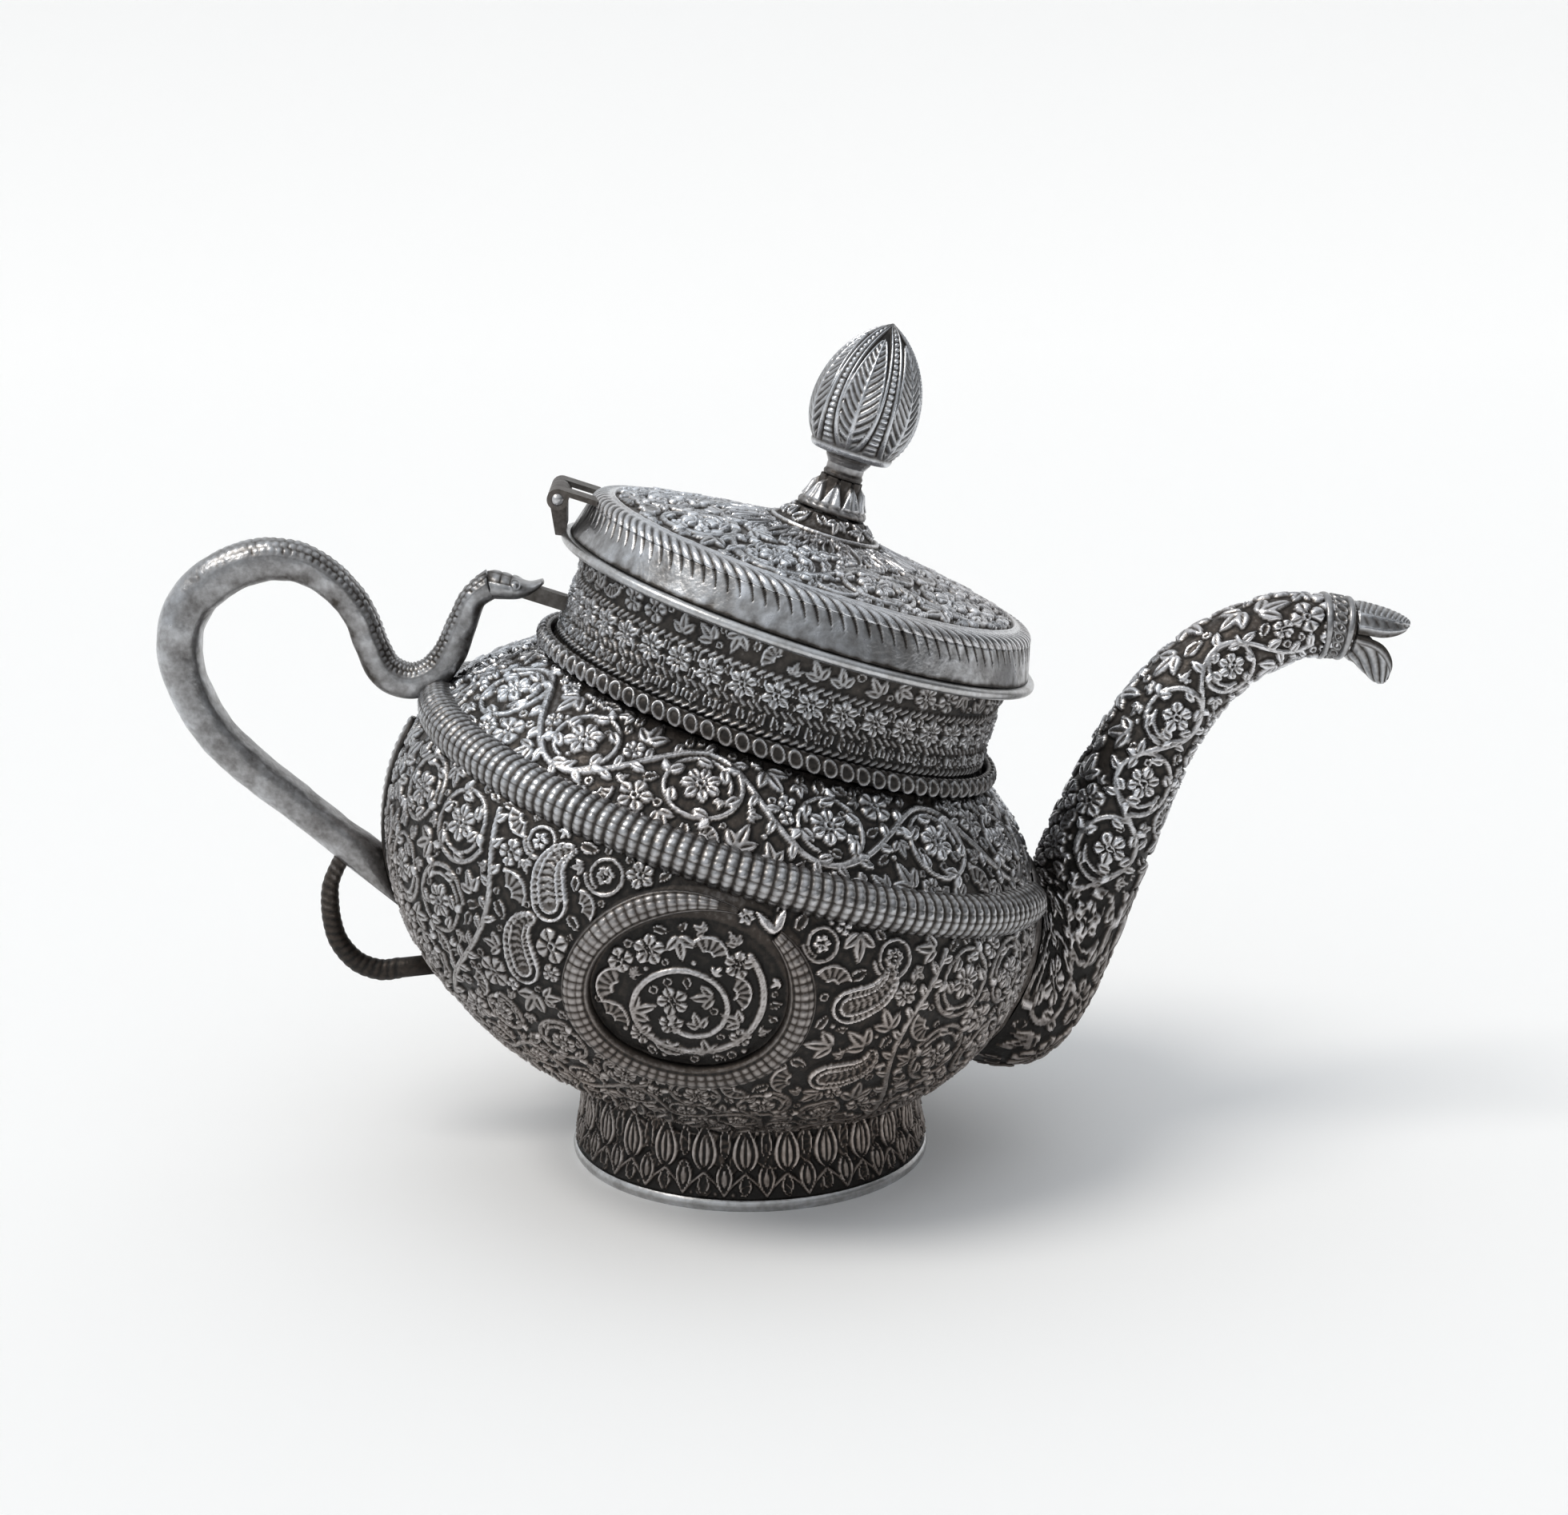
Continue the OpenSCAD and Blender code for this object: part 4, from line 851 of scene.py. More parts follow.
def beaded_ring():
    """A half-round ring punched with ovals, with a rope along its upper edge."""
    w = np.linspace(-1, 1, 34)[None]
    x = (np.arange(BEADS * 12) / (BEADS * 12))[:, None]
    px = ((x * BEADS + 0.25 * w + 0.5) % 1 - 0.5) * 2
    e = np.hypot(px / 0.85, (w - 0.05) / 0.62)
    rim = ridge(e, 0.84, 0.2)
    rope = np.abs(np.sin(math.pi * BEADS * 2 * x + 3 * w)) * soft_ridge(w, 0.85, 0.1)
    out = BEAD_H / 2 - 0.6 + 0.62 * rim + 0.3 * rope
    a = w * math.radians(100)
    r = NECK_FOOT_R + BEAD_DEPTH - BEAD_H / 2 + out * np.cos(a)
    rings = spun(r, 2 * math.pi * x, NECK_FOOT_T + BEAD_H * 0.45 + out * np.sin(a))
    wear_and_shade = np.clip(0.14 + 0.55 * rim + 0.4 * rope - 0.06 * (e < 0.6), 0, 1)
    skin("bead_ring_punched", "bead_ring", np.swapaxes(rings, 0, 1), wear_and_shade.T, CHASED,
         tube=True)


beaded_ring()

# ---- foot: an arcade of petals over diamonds ----
FOOT_WIRE_H, FOOT_WALL_R, FOOT_TOP_R, FOOT_RISE = 2.324, 37.0, 35.0, 20.5
FOOT_CHORD = math.hypot(FOOT_WALL_R - FOOT_TOP_R, FOOT_RISE)
FOOT_CURVE_R, FOOT_STRIP_H = 60.0, 15.6


def chased_foot():
    """An arcade of petals with a leaf in each, over a row of diamonds."""
    f = Strip(2 * math.pi * 36, 0, FOOT_STRIP_H, 0.32)
    count = 27
    cell = f.width / count
    for i in range(count):
        x = i * cell
        between = x + cell / 2
        f.leaf(x, 5.4, UPRIGHT, 9.6, 3.0, 1.15)
        f.leaf(x, 6.2, UPRIGHT, 7.0, 1.5, 1.15, hollow=False, vein=True)
        f.leaf(between, 8.2, UPRIGHT, 6.9, 1.3, 1.0)
        f.leaf(between, 1.2, UPRIGHT, 6.4, 1.9, 1.1, blunt=1.0)
        f.leaf(between, 2.4, UPRIGHT, 3.8, 0.8, 1.0, hollow=False)
        f.leaf(x, 0.9, UPRIGHT, 4.0, 1.4, 1.0, blunt=0.9)
        for side in (-1, 1):
            f.line([(x + side * 0.2, 5.0), (x + side * cell * 0.3, 3.0), (x + side * cell / 2, 0.9)],
                   0.4, 0.8)
    f.fill(27, 0.7, 0.6)
    middle_r, middle_z = (FOOT_WALL_R + FOOT_TOP_R) / 2, FOOT_WIRE_H + FOOT_RISE / 2
    reach = math.sqrt(FOOT_CURVE_R ** 2 - (FOOT_CHORD / 2) ** 2) / FOOT_CHORD
    centre_r = middle_r + FOOT_RISE * reach
    centre_z = middle_z + (FOOT_WALL_R - FOOT_TOP_R) * reach

    def rings(z, curve_r, off):
        r = centre_r - np.sqrt(curve_r ** 2 - (z - centre_z) ** 2) + off
        phi = around(f.nx)[None]
        return MM * np.stack([r * np.cos(phi), r * np.sin(phi), z + 0 * r * phi], -1)

    z = FOOT_WIRE_H + np.arange(f.ny)[:, None] * f.dy
    z_in = np.linspace(FOOT_WIRE_H + FOOT_STRIP_H, FOOT_WIRE_H, 6)[:, None]
    shell("foot_chased", "foot_ring", rings(z, FOOT_CURVE_R, f.h - SINK + grained(f.h.shape, 4)),
          rings(z_in, FOOT_CURVE_R + SHEET, 0), f.wear_and_shade(), 0.25, CHASED)


chased_foot()

# ---- medallion serpents: scaled, with a small head and a long thin tail ----
MEDAL_FROM, MEDAL_TURN, MEDAL_WIRE, MEDAL_PROUD = math.radians(40), math.radians(336), 2.6, 2.1


def medallion(name, node, phi0, hand):
    """A serpent bent into a ring, with a plain edge on both sides of its scales."""
    x = np.linspace(0, 1, 560)
    head = 0.5 + 0.5 * np.sin(x / 0.15 * math.pi / 2)
    tail = 0.1 + 0.9 * np.cos((x - 0.84) / 0.16 * math.radians(84))
    fat = np.where(x < 0.15, head, np.where(x < 0.84, 1, tail))[:, None]
    w = MEDAL_FROM - MEDAL_TURN * x
    a, s = tilted(MEDAL_A * np.cos(w), MEDAL_B * np.sin(w))
    d = headings(np.stack([a, s], -1))
    v = np.sin(np.linspace(-math.pi / 2, math.pi / 2, 26))[None]
    lanes = humps(1.6 * (v + 0.31), 0.4)
    scale = humps(66 * x, 0.5)[:, None] * (0.4 + 0.6 * lanes) * (0.3 + 0.7 * (x < 0.97))[:, None]
    scale = np.where(np.abs(v) > 0.78, 1.0, scale)
    groove = soft_ridge(np.abs(v), 0.76, 0.07)
    dome = np.sqrt(1.0001 - v * v)
    cut = (0.5 * (1 - scale) + 0.3 * groove) * np.minimum(fat * 1.4, 1)
    across = v * MEDAL_WIRE * fat
    top_s = s[:, None] + d[:, :1] * across
    phi = phi0 + hand * (a[:, None] - d[:, 1:] * across) / outline(top_s)[0]
    wear_and_shade = np.clip(0.17 + 0.55 * scale * (1 - 0.6 * np.abs(v) ** 6) - 0.45 * groove, 0, 1)
    patch_on_wall(name, node, phi, top_s, 0.45 + (MEDAL_PROUD * fat - cut) * dome, wear_and_shade)


medallion("medallion_serpent_front_scaled", "medallion_serpent_front", *SIDES[0])
medallion("medallion_serpent_back_scaled", "medallion_serpent_back", *SIDES[1])

# ---- spout ----
ROOT_A, ROOT_B, ROOT_DROP, SPOUT_WALL, SADDLE_H, SEAT = 21.5, 13.0, 4.6, 1.2, 1.2, 0.1
SPOUT_PATH = [
    (6.7, 20.6, 10.9, 10.9), (7, 30, 10.8, 10.8), (8, 42.5, 10, 10.2), (9.4, 53, 9.5, 9.8),
    (12.2, 62.3, 8.8, 9.2), (15.6, 69.3, 8.4, 8.6), (20.3, 75.4, 7.7, 8), (26.3, 80.6, 7.1, 7.4),
    (31.3, 83.3, 6.4, 6.6), (36.2, 84.8, 6, 6.2), (40.6, 85.5, 5.75, 5.9)]
SPOUT_N, ROOT_STEPS, CORNER = 200, 76, 0.82
spout_curve, spout_s = evenly(smooth([(BODY_R + a, b, c, d) for a, b, c, d in SPOUT_PATH], 12), STEP)


def root_ring(margin, off):
    """The spout's root on the wall: an ellipse made larger by margin, off outside the wall."""
    w = around(SPOUT_N, 0.5)
    a, s = (ROOT_B + margin) * np.cos(w), (ROOT_A + margin) * np.sin(w) - ROOT_DROP
    r, t = outline(s, off)
    angle = a / outline(s)[0]
    return np.stack([r * np.cos(angle), r * np.sin(angle), t], -1)


def spout_rings(grow, off):
    """Rings from the root, off outside the wall, up to the beak, made larger by grow."""
    w = around(SPOUT_N, 0.5)
    c = spout_curve[0]
    p = root_ring(grow, off)
    q = np.stack([c[0] - (c[2] + grow) * np.sin(w), (c[3] + grow) * np.cos(w),
                  np.full(SPOUT_N, c[1])], -1)
    x = np.linspace(0, 1, ROOT_STEPS, endpoint=False)[:, None, None]
    a = p + (q - p) * [CORNER, 0.2, 0]
    b = q - (q - p) * [0, 0, CORNER]
    root = (1 - x) ** 3 * p + 3 * (1 - x) ** 2 * x * a + 3 * (1 - x) * x * x * b + x ** 3 * q
    out = root * [1, 1, 0] / np.maximum(np.hypot(root[..., 0], root[..., 1]), 1)[..., None]
    root = root + np.maximum(0, off + SEAT - wall_gap(root))[..., None] * 1.2 * out
    return np.concatenate([root, sweep(spout_curve, SPOUT_N, 2.0, grow)])


def spout_relief(length, girth):
    """On each side of the spout a vine climbs, and throws a loop to the left and to the right in turn."""
    width, pitch = 2 * math.pi * 10, 15.0
    f = Strip(width, 0, length[-1], 0.33,
              lambda y: float(np.interp(y, length, np.clip(girth, 0, 90))) / width)
    for x0 in (0.0, 0.5 * width):
        stem = [(x0 + 5.6 * math.sin(math.pi * q / pitch) * min(1, f.narrow(q)) / f.narrow(q), q)
                for q in np.linspace(4, length[-1] - 9, 240)]
        f.line(stem, 0.75, 1.0, 0.75, groove=0.35)
        for i in range(int((length[-1] - 12) / pitch)):
            q = pitch * (i + 0.5)
            way = 1 if i % 2 == 0 else -1
            f.spiral(x0 - way * 0.4 / f.narrow(q), q, 7.0 * min(1.05, f.narrow(q)), -UPRIGHT, -way,
                     1.2, 0.65, 1.15, 5 + i % 2)
        f.sprigs(stem, 2.4, 3.4, 1.1)
    f.fill(31, 0.95)
    return f


def chased_spout():
    """The spout's tube. Its strip is read back at the rings' own lengths."""
    outer = spout_rings(0, 2 * SEAT + SADDLE_H)
    step = np.linalg.norm(np.diff(outer, axis=0), axis=2)[:, SPOUT_N // 2]
    length = np.concatenate([[0], np.cumsum(step)])
    girth = np.linalg.norm(np.diff(outer, axis=1, append=outer[:, :1]), axis=2).sum(1)
    f = spout_relief(length, girth)
    rows = np.clip(length / f.dy, 0, f.ny - 1).astype(int)
    cols = np.arange(SPOUT_N) * f.nx // SPOUT_N
    about = np.roll(outer, -1, 1) - np.roll(outer, 1, 1)
    normal = np.cross(about, np.gradient(outer, axis=0))
    normal /= np.maximum(np.linalg.norm(normal, axis=2), TINY)[..., None]
    if ((outer - outer.mean(1, keepdims=True)) * normal).sum() < 0:
        normal = -normal
    fade = np.clip(np.minimum(length / 2, (length[-1] - length) / 6), 0, 1)[:, None, None]
    outer = outer + normal * (f.h[rows][:, cols, None] - SINK * 0.8) * fade
    inner = spout_rings(-SPOUT_WALL, 2 * SEAT + SADDLE_H)[::-1][::5]
    shell("spout_tube_chased", "spout_tube", to_world(outer), to_world(inner), f.wear_and_shade()[rows][:, cols],
          0.25, CHASED)


chased_spout()


def solder_saddle():
    """The uneven plate of solder round the spout's root."""
    margin, rows = 4.4, 14
    x = np.linspace(0, 1, rows)
    high = SEAT + SADDLE_H * np.sqrt(np.clip(1 - x ** 3, 0, 1))
    uneven = hammered((rows, SPOUT_N), 71, 0.12, 5)
    top = [root_ring(-SPOUT_WALL + (margin + SPOUT_WALL) * k, h + (0 < k < 1) * np.maximum(u, -0.1))
           for k, h, u in zip(x, high, uneven)]
    low = [root_ring(margin, 0.0), root_ring(-SPOUT_WALL, 0.0)]
    skin("spout_saddle_soldered", "spout_saddle", to_world(np.array(top + low)), 0.5,
         CHASED, tube=True)


solder_saddle()


def at_spout(back, half):
    """A ring round the spout, back from its end and half proud of it."""
    i = int(round(np.interp(spout_s[-1] - back, spout_s, np.arange(len(spout_s)))))
    near = spout_curve[max(0, i - 3):i + 4]
    d = near[-1, :2] - near[0, :2]
    d /= np.hypot(*d)
    c = spout_curve[i]
    extra = back - (spout_s[-1] - spout_s[i])
    w = around(SPOUT_N, 0.5)
    up, side = np.sin(w) * (c[2] + half), np.cos(w) * (c[3] + half)
    return np.stack([c[0] - d[0] * extra - d[1] * up, side, c[1] - d[1] * extra + d[0] * up], -1)


def ringed_collar():
    """Two ridges round the spout's end, with a row of crescents between them."""
    x = np.arange(SPOUT_N) / SPOUT_N
    first, last = 6.3, 0.5
    rings, wear_and_shade = [], []
    for b in np.linspace(first, last, 42):
        edge = 0.6 * max(round_bump((b - 5.6) / 0.75), round_bump((b - 1.25) / 0.75))
        e = np.hypot(((x * 20 + (b - 3.4) * 0.2) % 1 - 0.5) * 2.1, (b - 3.4) / 1.25)
        h = 0.25 + np.maximum(edge, 0.5 * ridge(e, 0.82, 0.3) * (2.2 < b < 4.6))
        rings.append(at_spout(b, h))
        wear_and_shade.append(np.clip(0.1 + h * 0.5, 0, 1))
    for b in (last, first):
        rings.append(at_spout(b, 0.02))
        wear_and_shade.append(np.full(SPOUT_N, 0.1))
    skin("spout_collar_ringed", "spout_collar", to_world(np.array(rings)), np.array(wear_and_shade),
         WORN, tube=True)


ringed_collar()

# ---- the open beak ----
BEAK_U, BEAK_T = BODY_R + 40.6, 85.5
UPPER_JAW = [
    (0.3, 0.2, -0.7, 6.1, 6.2), (3, 0.5, 2.2, 6.3, 5.9), (5.8, 0.9, 5.7, 6.4, 5.2),
    (8.5, 1.9, 8.8, 6.2, 4), (10.6, 3.1, 10.9, 5.7, 2.2), (11.4, 4.1, 11.6, 5.2, 1.1)]
LOWER_JAW = [
    (0.3, -0.2, 1.2, -5.9, 6.2), (3.6, 0, 3.2, -6.1, 6.2), (6.3, -0.5, 5.6, -7.2, 5.9),
    (8.7, -2.2, 7.6, -8.1, 5.2), (10.2, -4.2, 9.3, -8.7, 4), (10.9, -6.6, 10.6, -8.5, 2.2)]


def jaw(name, node, stations, upper):
    """Half of the beak: a bent shell through stations (edge u, edge t, crest u, crest t, half width)."""
    c = smooth(stations, 16)
    m, n = len(c), 84
    a = math.pi * np.arange(n) / (n - 1)
    x = np.linspace(0, 1, m)[:, None]
    off = np.abs(a - math.pi / 2)[None]

    def row(w, h):
        e, d = c[:, None, 0:2], c[:, None, 2:4] - c[:, None, 0:2]
        k = 1 + (h - w) / np.maximum(np.hypot(d[..., 0], d[..., 1]), c[:, 4:5])
        return np.stack([BEAK_U + 0.15 + e[..., 0] + d[..., 0] * np.sin(a) * k,
                         c[:, 4:5] * np.cos(a) * k, BEAK_T + e[..., 1] + d[..., 1] * np.sin(a) * k], -1)

    if upper:
        # saw-toothed feathers along the ridge, two edge lines, and short strokes between them
        tooth = 0.4 * (1 - (13 * x + 1.6 * off) % 1) * (off < 0.75)
        lines = soft_ridge(off, 0.82, 0.07) + soft_ridge(off, 1.3, 0.09)
        h = tooth + 0.4 * lines + 0.18 * np.abs(np.sin(20 * x - 5 * off)) * (off > 0.88) * (off < 1.2)
    else:
        h = 0.42 * np.abs(np.sin(7 * off + 11 * x)) ** 0.7 * (off < 1.3)
        h = h + 0.4 * soft_ridge(off, 1.38, 0.08)
    thin = np.minimum(1.1, c[:, 4:5] * 0.5)
    rings = np.concatenate([row(0.25, h * np.clip(x * 12, 0.2, 1)), row(thin, 0 * h)[:, ::-1]], 1)
    wear_and_shade = np.concatenate([np.clip((0.2 if upper else 0.02) + h * 1.3, 0, 1), np.full((m, n), 0.1)], 1)
    slot, material = ("silver_worn", WORN) if upper else ("silver_chased", CHASED)
    skin(name, node, to_world(rings), wear_and_shade, material)


jaw("beak_upper_jaw", "spout_upper_jaw", UPPER_JAW, True)
jaw("beak_lower_jaw", "spout_lower_jaw", LOWER_JAW, False)

# ---- handle ----
HANDLE_HALF, HANDLE_SIDE, ESCUTCHEON_H = 4.5, 4.6, 1.5
NAPE = (math.cos(math.radians(32)), math.sin(math.radians(32)))
HANDLE_PATH = [
    (-2.6, -20.2, 0.84, 0.95), (-10, -17.2, 0.8, 0.95), (-18.3, -13.8, 0.82, 0.95),
    (-27.2, -10.2, 0.86, 0.97), (-36, -5.5, 0.88, 1), (-43.2, 1.2, 0.9, 1), (-47.6, 8.2, 0.98, 1),
    (-48.9, 15.6, 1, 1), (-46.8, 22.7, 1.02, 1), (-41.6, 28.9, 1, 1), (-35.3, 32.7, 0.94, 1),
    (-28.6, 33.7, 0.85, 0.96), (-21.8, 31.6, 0.76, 0.9), (-16, 27.6, 0.74, 0.86),
    (-11.6, 22, 0.74, 0.84), (-7.6, 17.9, 0.78, 0.84), (-2.5, 17.2, 0.8, 0.84),
    (1.6, 20, 0.78, 0.82), (3.7, 25.2, 0.74, 0.8), (4.3, 31.3, 0.68, 0.78),
    (4.9, 37, 0.61, 0.8), (7.3, 41, 0.64, 0.9)]
HEAD_PATH = [
    (7.55, 41.15, 0.64, 0.9), (10.2, 41.6, 0.58, 1.06), (13.2, 42, 0.44, 1),
    (15.4, 43, 0.25, 0.76), (17.3, 44.8, 0.11, 0.5)]
TAIL_PATH = [
    (-5.2, -22.6, 0.34, 0.36), (-5.8, -28, 0.36, 0.38), (-5.2, -31.6, 0.4, 0.4),
    (-3.4, -36.3, 0.42, 0.42), (-0.6, -40.4, 0.44, 0.44), (4, -43.3, 0.46, 0.44),
    (9, -43.6, 0.48, 0.44), (13, -41.9, 0.48, 0.44)]


def beside_bowl(path):
    """A handle path as stations (u, t, half thickness, half width)."""
    return [(a - BODY_R, b, c * HANDLE_HALF, d * HANDLE_SIDE) for a, b, c, d in path]


def off_back(w):
    """How far each angle of a section lies from the middle of its back."""
    return np.abs((w - math.pi / 2 + math.pi) % (2 * math.pi) - math.pi)[None]


def scales(s, w, half, lanes):
    """Rows of bead-like scales on a serpent's back, half an angle wide to each side.

    Gives 1 on a scale and 0 in the cut between two, where they lie, and the line along their edge."""
    side = off_back(w)
    lane = side / half * lanes
    scale = humps(lane, 0.45) * humps(s[:, None] / 1.35 + 0.5 * np.floor(lane), 0.55)
    return scale, np.clip((half - side) * 9, 0, 1), soft_ridge(side, half + 0.05, 0.07)


def at_nape(station, n, square, grow):
    """The ring where the serpent's neck meets its head."""
    pair = np.array([station, station])
    pair[1, :2] += NAPE
    return sweep(pair, n, square, grow)[:1]


def handle_piece():
    """The serpent's body, hammered smooth below and scaled along its back above."""
    n = 80
    curve, s = evenly(smooth(beside_bowl(HANDLE_PATH), 12), 0.36)
    w = around(n, 0.5)
    scale, inside, edge = scales(s, w, 1.2, 3)
    live = np.clip((s - 66) / 26, 0, 1)[:, None]
    dents = hammered((len(s), n), 81, 0.06, 12)
    h = live * (inside * (0.4 * scale - 0.3) + edge * 0.1) + dents
    rings = sweep(curve, n, 3.2, h)
    rings[-1:] = at_nape(curve[-1], n, 3.2, h[-1:])
    d = headings(curve)[0]
    foot = landed(rings[0], np.array([-d[0], 0, -d[1]]), ESCUTCHEON_H)
    rings = np.concatenate([foot[None], rings])
    # Painted shade: the colour darkens under the section and down its sides, where less light falls.
    low_shade = np.clip(-np.sin(w), 0, 1)[None] * 0.3 * np.clip((s[:, None] - 60) / 40, 0, 1)
    side = np.clip(1 - np.sin(w), 0, 1)[None] * 0.14
    cuts = live * (inside * 0.55 * (1 - scale) + edge * 0.15)
    wear_and_shade = np.clip(0.58 - cuts - low_shade - side + 0.8 * dents, 0, 1)
    skin("handle_serpent_scaled", "handle_serpent", to_world(rings), np.vstack([wear_and_shade[:1], wear_and_shade]),
         WORN)


handle_piece()


def head_piece():
    """The serpent's head: plates over the nape, then smooth cheeks with an eye on each side."""
    n = 80
    curve, s = evenly(smooth(beside_bowl(HEAD_PATH), 14), 0.16)
    w = around(n, 0.5)
    side = off_back(w)
    nape = np.clip((5.5 - s) / 1.5, 0, 1)[:, None] * (side < 1.2)
    plate = humps(s / 1.9, 0.4)[:, None] * np.abs(np.cos(math.pi * side / 0.75)) ** 0.3
    eye = np.hypot((s[:, None] - 5.0) / 0.8, (side - 0.95) * 3.4)
    h = nape * (0.3 * plate - 0.28) + 0.35 * round_bump(eye) + 0.2 * soft_ridge(eye, 1.5, 0.3)
    rings = sweep(curve, n, 2.6, h)
    rings[:1] = at_nape(curve[0], n, 2.6, h[:1])
    # Painted shade: the colour darkens under the head's section.
    low_shade = np.clip(-np.sin(w), 0, 1)[None] * 0.35
    wear_and_shade = np.clip(0.5 - nape * 0.45 * (1 - plate) + h * 0.3 - low_shade, 0, 1)
    skin("handle_head_scaled", "handle_head", to_world(rings), wear_and_shade, WORN)


head_piece()


def tail_piece():
    """The thin twisted tail, from the handle's underside round to its pad."""
    n = 28
    curve, s = evenly(smooth(beside_bowl(TAIL_PATH), 14), 0.3)
    twist = 0.16 * np.abs(np.sin(s[:, None] * 1.9 + around(n, 0.5)[None])) ** 0.7
    rings = sweep(curve, n, 2.0, twist - 0.08)
    d = headings(curve)[-1]
    tip = landed(rings[-1], np.array([d[0], 0, d[1]]), 0.9)
    wear_and_shade = np.clip(0.2 + 1.6 * (twist - 0.05), 0, 1)
    skin("handle_tail_loop_twisted", "handle_tail_loop", to_world(np.concatenate([rings, tip[None]])),
         np.vstack([wear_and_shade, wear_and_shade[-1:]]), CHASED)


tail_piece()


def leaf_plate(name, node, low, high, half, thick, ribs):
    """A pointed leaf on the wall under the handle, with a spine and slanting ribs."""
    m, n = max(40, int((high - low) / 0.3)), 28
    x = np.linspace(0, 1, m)[:, None]
    v = np.linspace(-1, 1, n)[None]
    width = half * (0.16 + 0.84 * np.sin(math.pi * x) ** 0.6)
    s = low + (high - low) * x
    rib = humps(ribs * x + 1.6 * np.abs(v), 0.6)
    spine = soft_ridge(v, 0, 0.1)
    raised = thick * (0.4 + 0.5 * np.sqrt(1.0001 - v * v) * (0.45 + 0.55 * rib)) + 0.3 * spine
    wear_and_shade = np.clip(0.1 + 0.6 * rib * (1 - np.abs(v) ** 3) + 0.3 * spine, 0, 1)
    patch_on_wall(name, node, math.pi - v * width / outline(s)[0], s + 0 * v, raised, wear_and_shade)


leaf_plate("handle_escutcheon_hatched", "handle_escutcheon", -34, 10, 6.5, 1.6, 24)
leaf_plate("handle_tail_pad_ribbed", "handle_tail_pad", -50, -35.5, 7.5, 1.1, 9)

# ---- lid ----
LID_GAP, LID_R, LID_BAND_H, LID_TAPER, LID_SHEET, LID_TOP_R = 0.15, 48.5, 7.0, 2.0, 1.0, 7.2
EDGE_H, CONE_R, CONE_SLOPE, SPIRE_R = LID_GAP + LID_BAND_H, LID_R - 4.5, 0.18, 12.0
EDGE_R = 2.2
CONE_H, SPIRE_U = EDGE_H + EDGE_R, LID_TOP_R - 2.2 + SPIRE_R
SPIRE_H = CONE_H + CONE_SLOPE * (CONE_R - SPIRE_U) + SPIRE_R * math.hypot(1, CONE_SLOPE)
SPIRE_FOOT = SPIRE_U - SPIRE_R * CONE_SLOPE / math.hypot(1, CONE_SLOPE)
LID_TOP_H = SPIRE_H - math.sqrt(SPIRE_R ** 2 - (SPIRE_U - LID_TOP_R) ** 2)
LID_CUTS, CUT_RISE = 116, 3.4


def lid_profile(draw_in):
    """The lid's outline from its edge up its cone to the spire, draw_in inside its outer face."""
    foot_h = CONE_H + CONE_SLOPE * (CONE_R - SPIRE_FOOT)
    edge = arc((LID_R - LID_TAPER - EDGE_R, EDGE_H), EDGE_R - draw_in, 0, 90)
    a0 = math.degrees(math.atan2(foot_h - SPIRE_H, SPIRE_FOOT - SPIRE_U))
    a1 = math.degrees(math.atan2(LID_TOP_H - SPIRE_H, LID_TOP_R - SPIRE_U))
    spire = arc((SPIRE_U, SPIRE_H), SPIRE_R + draw_in, a0 + 360 * (a0 < 0), a1 + 360 * (a1 < 0), 24)
    return edge + [(CONE_R, CONE_H - draw_in)] + spire


def edge_cuts(turn, y):
    """Slanted cuts over the lid's edge: 1 in a cut. y runs up from the band's top, and is below 0 on it."""
    phase = turn * LID_CUTS + 0.11 * y + 0.028 * (y + CUT_RISE) ** 2
    lane = np.abs((phase % 1) - 0.5) * 2
    wide = np.clip((y + CUT_RISE) / 4, 0, 1) * 0.42
    ends = np.clip((y + CUT_RISE) * 1.2, 0, 1) * np.clip((4.4 - y) * 1.4, 0, 1)
    return np.clip(1 - lane / np.maximum(wide, 0.02), 0, 1) ** 0.7 * ends


def band_radius(h):
    """Radius of the lid's band, which narrows upward."""
    return LID_R - LID_TAPER * (h - LID_GAP) / LID_BAND_H


def chased_lid():
    """Slanted cuts over the edge, one running vine of ten loops, and leaves that rise to the spire."""
    p, normal, s = profile(lid_profile(0), 0.32)
    f = Strip(2 * math.pi * CONE_R, 0, s[-1], 0.32,
              lambda y: float(np.interp(y, s, p[:, 0])) / CONE_R)
    f.free[:int(6.4 / f.free_dy)] = 0
    for y, width in ((5.4, 0.35), (37.4, 0.5)):
        f.line([(x, y) for x in np.linspace(0, f.width, 121)], width, 0.7)
    f.scroll(16.2, 8.4, 5, 0.7, 1.15)
    f.leaf_row(20, 0, 27.2, (9.5, 1.3, 1.0), (5.2, 0.9, 0.9), (31, 1.8))
    f.fill(41, 0.95)
    turn = np.arange(f.nx)[None] / f.nx
    cut = edge_cuts(turn, s[:, None])
    plain = np.clip((5.4 - s[:, None]) / 0.5, 0, 1)
    chased = f.h - SINK + 0.5 * grained(f.h.shape, 6)
    outer = turned(p, normal, chased * (1 - plain) + (f.h - 0.5 * cut) * plain)
    q, q_normal, _ = profile(lid_profile(LID_SHEET)[::-1], 1.6)
    wear_and_shade = f.wear_and_shade() * (1 - plain) + plain * (0.72 - 0.72 * cut)
    shell("lid_dome_chased", "lid_dome", outer, turned(q, q_normal, np.zeros((1, f.nx))), wear_and_shade, 0.35,
          CHASED, "lid")


chased_lid()


